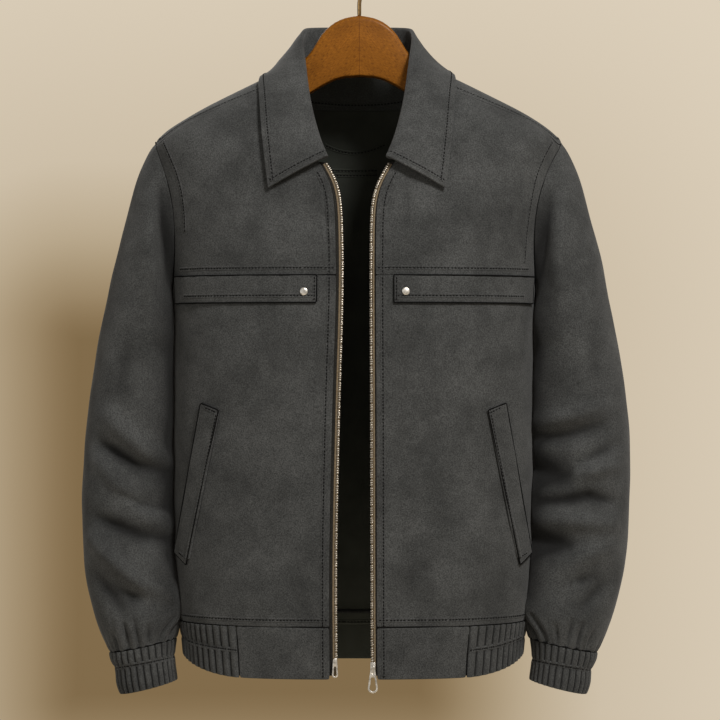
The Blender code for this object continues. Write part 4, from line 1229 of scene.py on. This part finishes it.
# %% Teeth, piping and tape
TAPE_ENDS = {"left": ((326, 165), (336, 676)), "right": ((387, 165), (371, 676))}
for side in SIDES:
    tape = f"tape_cloth_{side}"
    dress(f"zip_tape_{side}", tape, 3, TAPE)
    edge = rim_between(f"zip_tape_{side}", *TAPE_ENDS[side])
    teeth = along_at(laid(edge, tape, 0.0004), 0.001, 0.016, TOOTH_PITCH)
    teeth = [(place + normal * 0.0003, normal, along) for place, normal, along in teeth]
    new_piece(f"zip_teeth_{side}", *placed_copies(TOOTH, teeth), ZIP_METAL)
    cords = (0.0033, oval(0.0011, 0.0005, 0.0001)), (0.0008, oval(0.0011, 0.0004))
    strands = [swept(laid(edge, tape, inset)[::2], section) for inset, section in cords]
    new_piece(f"piping_{side}", *joined_mesh(strands), PIPING)
    print("teeth on", side, len(teeth))

# %% [markdown]
# ## Zip ends and snaps
# The solids of the slider, its pull and the pin have the right shapes, so copies of them only have
# their edges rounded, which is what makes metal catch the light. A snap's cap is domed: a disc whose
# top is extruded and drawn in, a little less steeply each time.


# %% Hard trim
def polished(node, name, edge, body="garment", thicker=0.0):
    piece = copy_of(node, name)
    add_bevel(piece, edge, 2, 35)
    apply_all(piece)
    set_points(piece, points_of(piece) + thicker * normals_of(piece))
    bpy.ops.object.shade_smooth_by_angle(angle=radians(40))
    stand_for(piece, node, TRIM_METAL, body)


polished("zip_slider_right", "slider", 0.0003)
polished("zip_pin_left", "pin", 0.0002, thicker=0.0002)
polished("zip_pull_right", "pull_tab", 0.0002, "zip_pull", 0.0003)

# %% Snap caps: a disc, extruded and drawn in four times into a dome
CAP_RADIUS, CAP_HEIGHT, CAP_LIFT = 0.0043, 0.001, 0.0008
DOME = ((0.86, 0.00045), (0.7, 0.00032), (0.45, 0.0002), (0.12, 0.00008))
for side in SIDES:
    low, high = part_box(f"snap_{side}")
    centre = (low + high) / 2
    strip = surface_of(f"strip_cloth_{side}")
    place, normal, _, _ = strip.find_nearest(Vector((centre.x, low.y, centre.z)))
    bpy.ops.mesh.primitive_cylinder_add(vertices=32, radius=CAP_RADIUS, depth=CAP_HEIGHT)
    cap = bpy.context.object
    cap.name = cap.data.name = f"snap_cap_{side}"
    set_mode("EDIT")
    bpy.ops.mesh.select_all(action="DESELECT")
    mesh = bmesh.from_edit_mesh(cap.data)
    for face in mesh.faces:
        face.select = face.normal.z > 0.9
    bmesh.update_edit_mesh(cap.data)
    now = 1.0
    for share, rise in DOME:
        bpy.ops.mesh.extrude_region_move(TRANSFORM_OT_translate={"value": (0, 0, rise)})
        bpy.ops.transform.resize(value=(share / now, share / now, 1))
        now = share
    set_mode("OBJECT")
    cap.data.transform(normal.to_track_quat("Z", "Y").to_matrix().to_4x4())
    cap.data.transform(Matrix.Translation(place + normal * CAP_LIFT))
    add_bevel(cap, 0.0002, 2, 30)
    apply_all(cap)
    stand_for(cap, f"snap_{side}", TRIM_METAL)

# %% [markdown]
# ## Hanger
# The hanger is flat on its faces, with well rounded upper edges. A bevel would round the solid's
# edges, but its outline would stay faceted. It is therefore lofted through many upright sections,
# closer together towards the tips. Each reaches from the arch below to the back above, which are
# found by looking up and down at the solid, and has its corners rounded.

# %% Loft the hanger
WOOD_HALF_DEPTH, UPPER_ROUND, LOWER_ROUND, CORNER_STEPS, SECTIONS = 0.0105, 0.0055, 0.002, 5, 121
probe = copy_of("hanger_wood", "hanger_probe")
wood_surface = BVHTree.FromObject(probe, bpy.context.evaluated_depsgraph_get())
bpy.data.objects.remove(probe)


def wood_span(x):
    """Lowest and highest point of the hanger at a distance from its middle."""
    low = wood_surface.ray_cast(Vector((x, 0, -0.5)), Vector((0, 0, 1)))[0]
    high = wood_surface.ray_cast(Vector((x, 0, 0.1)), Vector((0, 0, -1)))[0]
    return low.z, high.z


def rounded_section(x, low, high):
    """Points round an upright section, from the lower front corner up and over."""
    points = []
    for y, z, radius, start in (
        (-1, low, LOWER_ROUND, 270), (-1, high, UPPER_ROUND, 180),
        (1, high, UPPER_ROUND, 90), (1, low, LOWER_ROUND, 0),
    ):
        radius = min(radius, 0.45 * (high - low), WOOD_HALF_DEPTH)
        centre_y, centre_z = y * (WOOD_HALF_DEPTH - radius), z + radius * (1 if z == low else -1)
        for i in range(CORNER_STEPS + 1):
            angle = radians(start - 90 * i / CORNER_STEPS)
            points.append((x, centre_y + radius * cos(angle), centre_z + radius * sin(angle)))
    return points


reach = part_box("hanger_wood")[1].x - 0.0004
places = [reach * sin(pi / 2 * t) for t in np.linspace(-1, 1, SECTIONS)]
spans = np.array([wood_span(x) for x in places])
near_middle = np.abs(np.array(places)) < 0.014
spans[near_middle, 0] = averaged(spans, 4)[near_middle, 0]
rings = [rounded_section(x, low, high) for x, (low, high) in zip(places, spans)]
hanger = new_piece("hanger", *lofted(rings), WOOD)
set_mode("EDIT")
bpy.ops.mesh.select_all(action="SELECT")
bpy.ops.mesh.normals_make_consistent(inside=False)
set_mode("OBJECT")
bpy.ops.object.shade_smooth_by_angle(angle=radians(35))
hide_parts("hanger_wood")

# %% Hook
hook = copy_of("hanger_hook", "hook")
soften(hook, 2, 0.0004)
set_points(hook, points_of(hook) + 0.0003 * normals_of(hook))
stand_for(hook, "hanger_hook", BRASS)

# %% [markdown]
# The size each cloth piece was cut to is listed, in metres, with how it is held and what holds it.
# Where the cut is no rectangle, its area is given too.
# The sides of the hem and the cuffs are gathered on elastic, so their cut is longer than they look.

# %% Sizes of the cut: (width, length), area or None, held, what it is sewn to or hangs from
CUTS = {
    "yoke_cloth": ((0.215, 0.225), 0.037, "hung", "back_cloth"),
    "front_cloth": ((0.26, 0.385), 0.094, "hung", "yoke_cloth"),
    "hem_cloth": ((0.103, 0.055), None, "hung", "front_cloth"),
    "strip_cloth": ((0.182, 0.031), None, "hung", "yoke_cloth"),
    "welt_cloth": ((0.026, 0.178), None, "laid", "front_cloth"),
    "sleeve_cloth": ((0.4, 0.6), 0.163, "hung", "back_cloth"),
    "cuff_cloth": ((0.23, 0.056), None, "gathered", "sleeve_cloth"),
    "hem_rib_cloth": ((0.23, 0.054), None, "gathered", "front_cloth"),
    "tape_cloth": ((0.0205, 0.56), None, "hung", "front_cloth"),
    "back_cloth": ((0.56, 0.66), 0.3, "hung", "hanger"),
    "hem_cloth_back": ((0.255, 0.054), None, "hung", "back_cloth"),
    "collar_cloth": ((0.46, 0.15), 0.0555, "folded", "back_cloth"),
    "lining_cloth": ((0.46, 0.6), 0.244, "hung", "back_cloth"),
    "neck_facing_cloth": ((0.32, 0.038), 0.0112, "hung", "back_cloth"),
}
for name, piece in CLOTH_PIECES.items():
    kind, side = name.rsplit("_", 1)
    flat, area, held, holder = CUTS.get(name) or CUTS[kind]
    holder = bpy.data.objects.get(holder) or bpy.data.objects[f"{holder}_{side}"]
print("sheets:", len(CLOTH_PIECES))
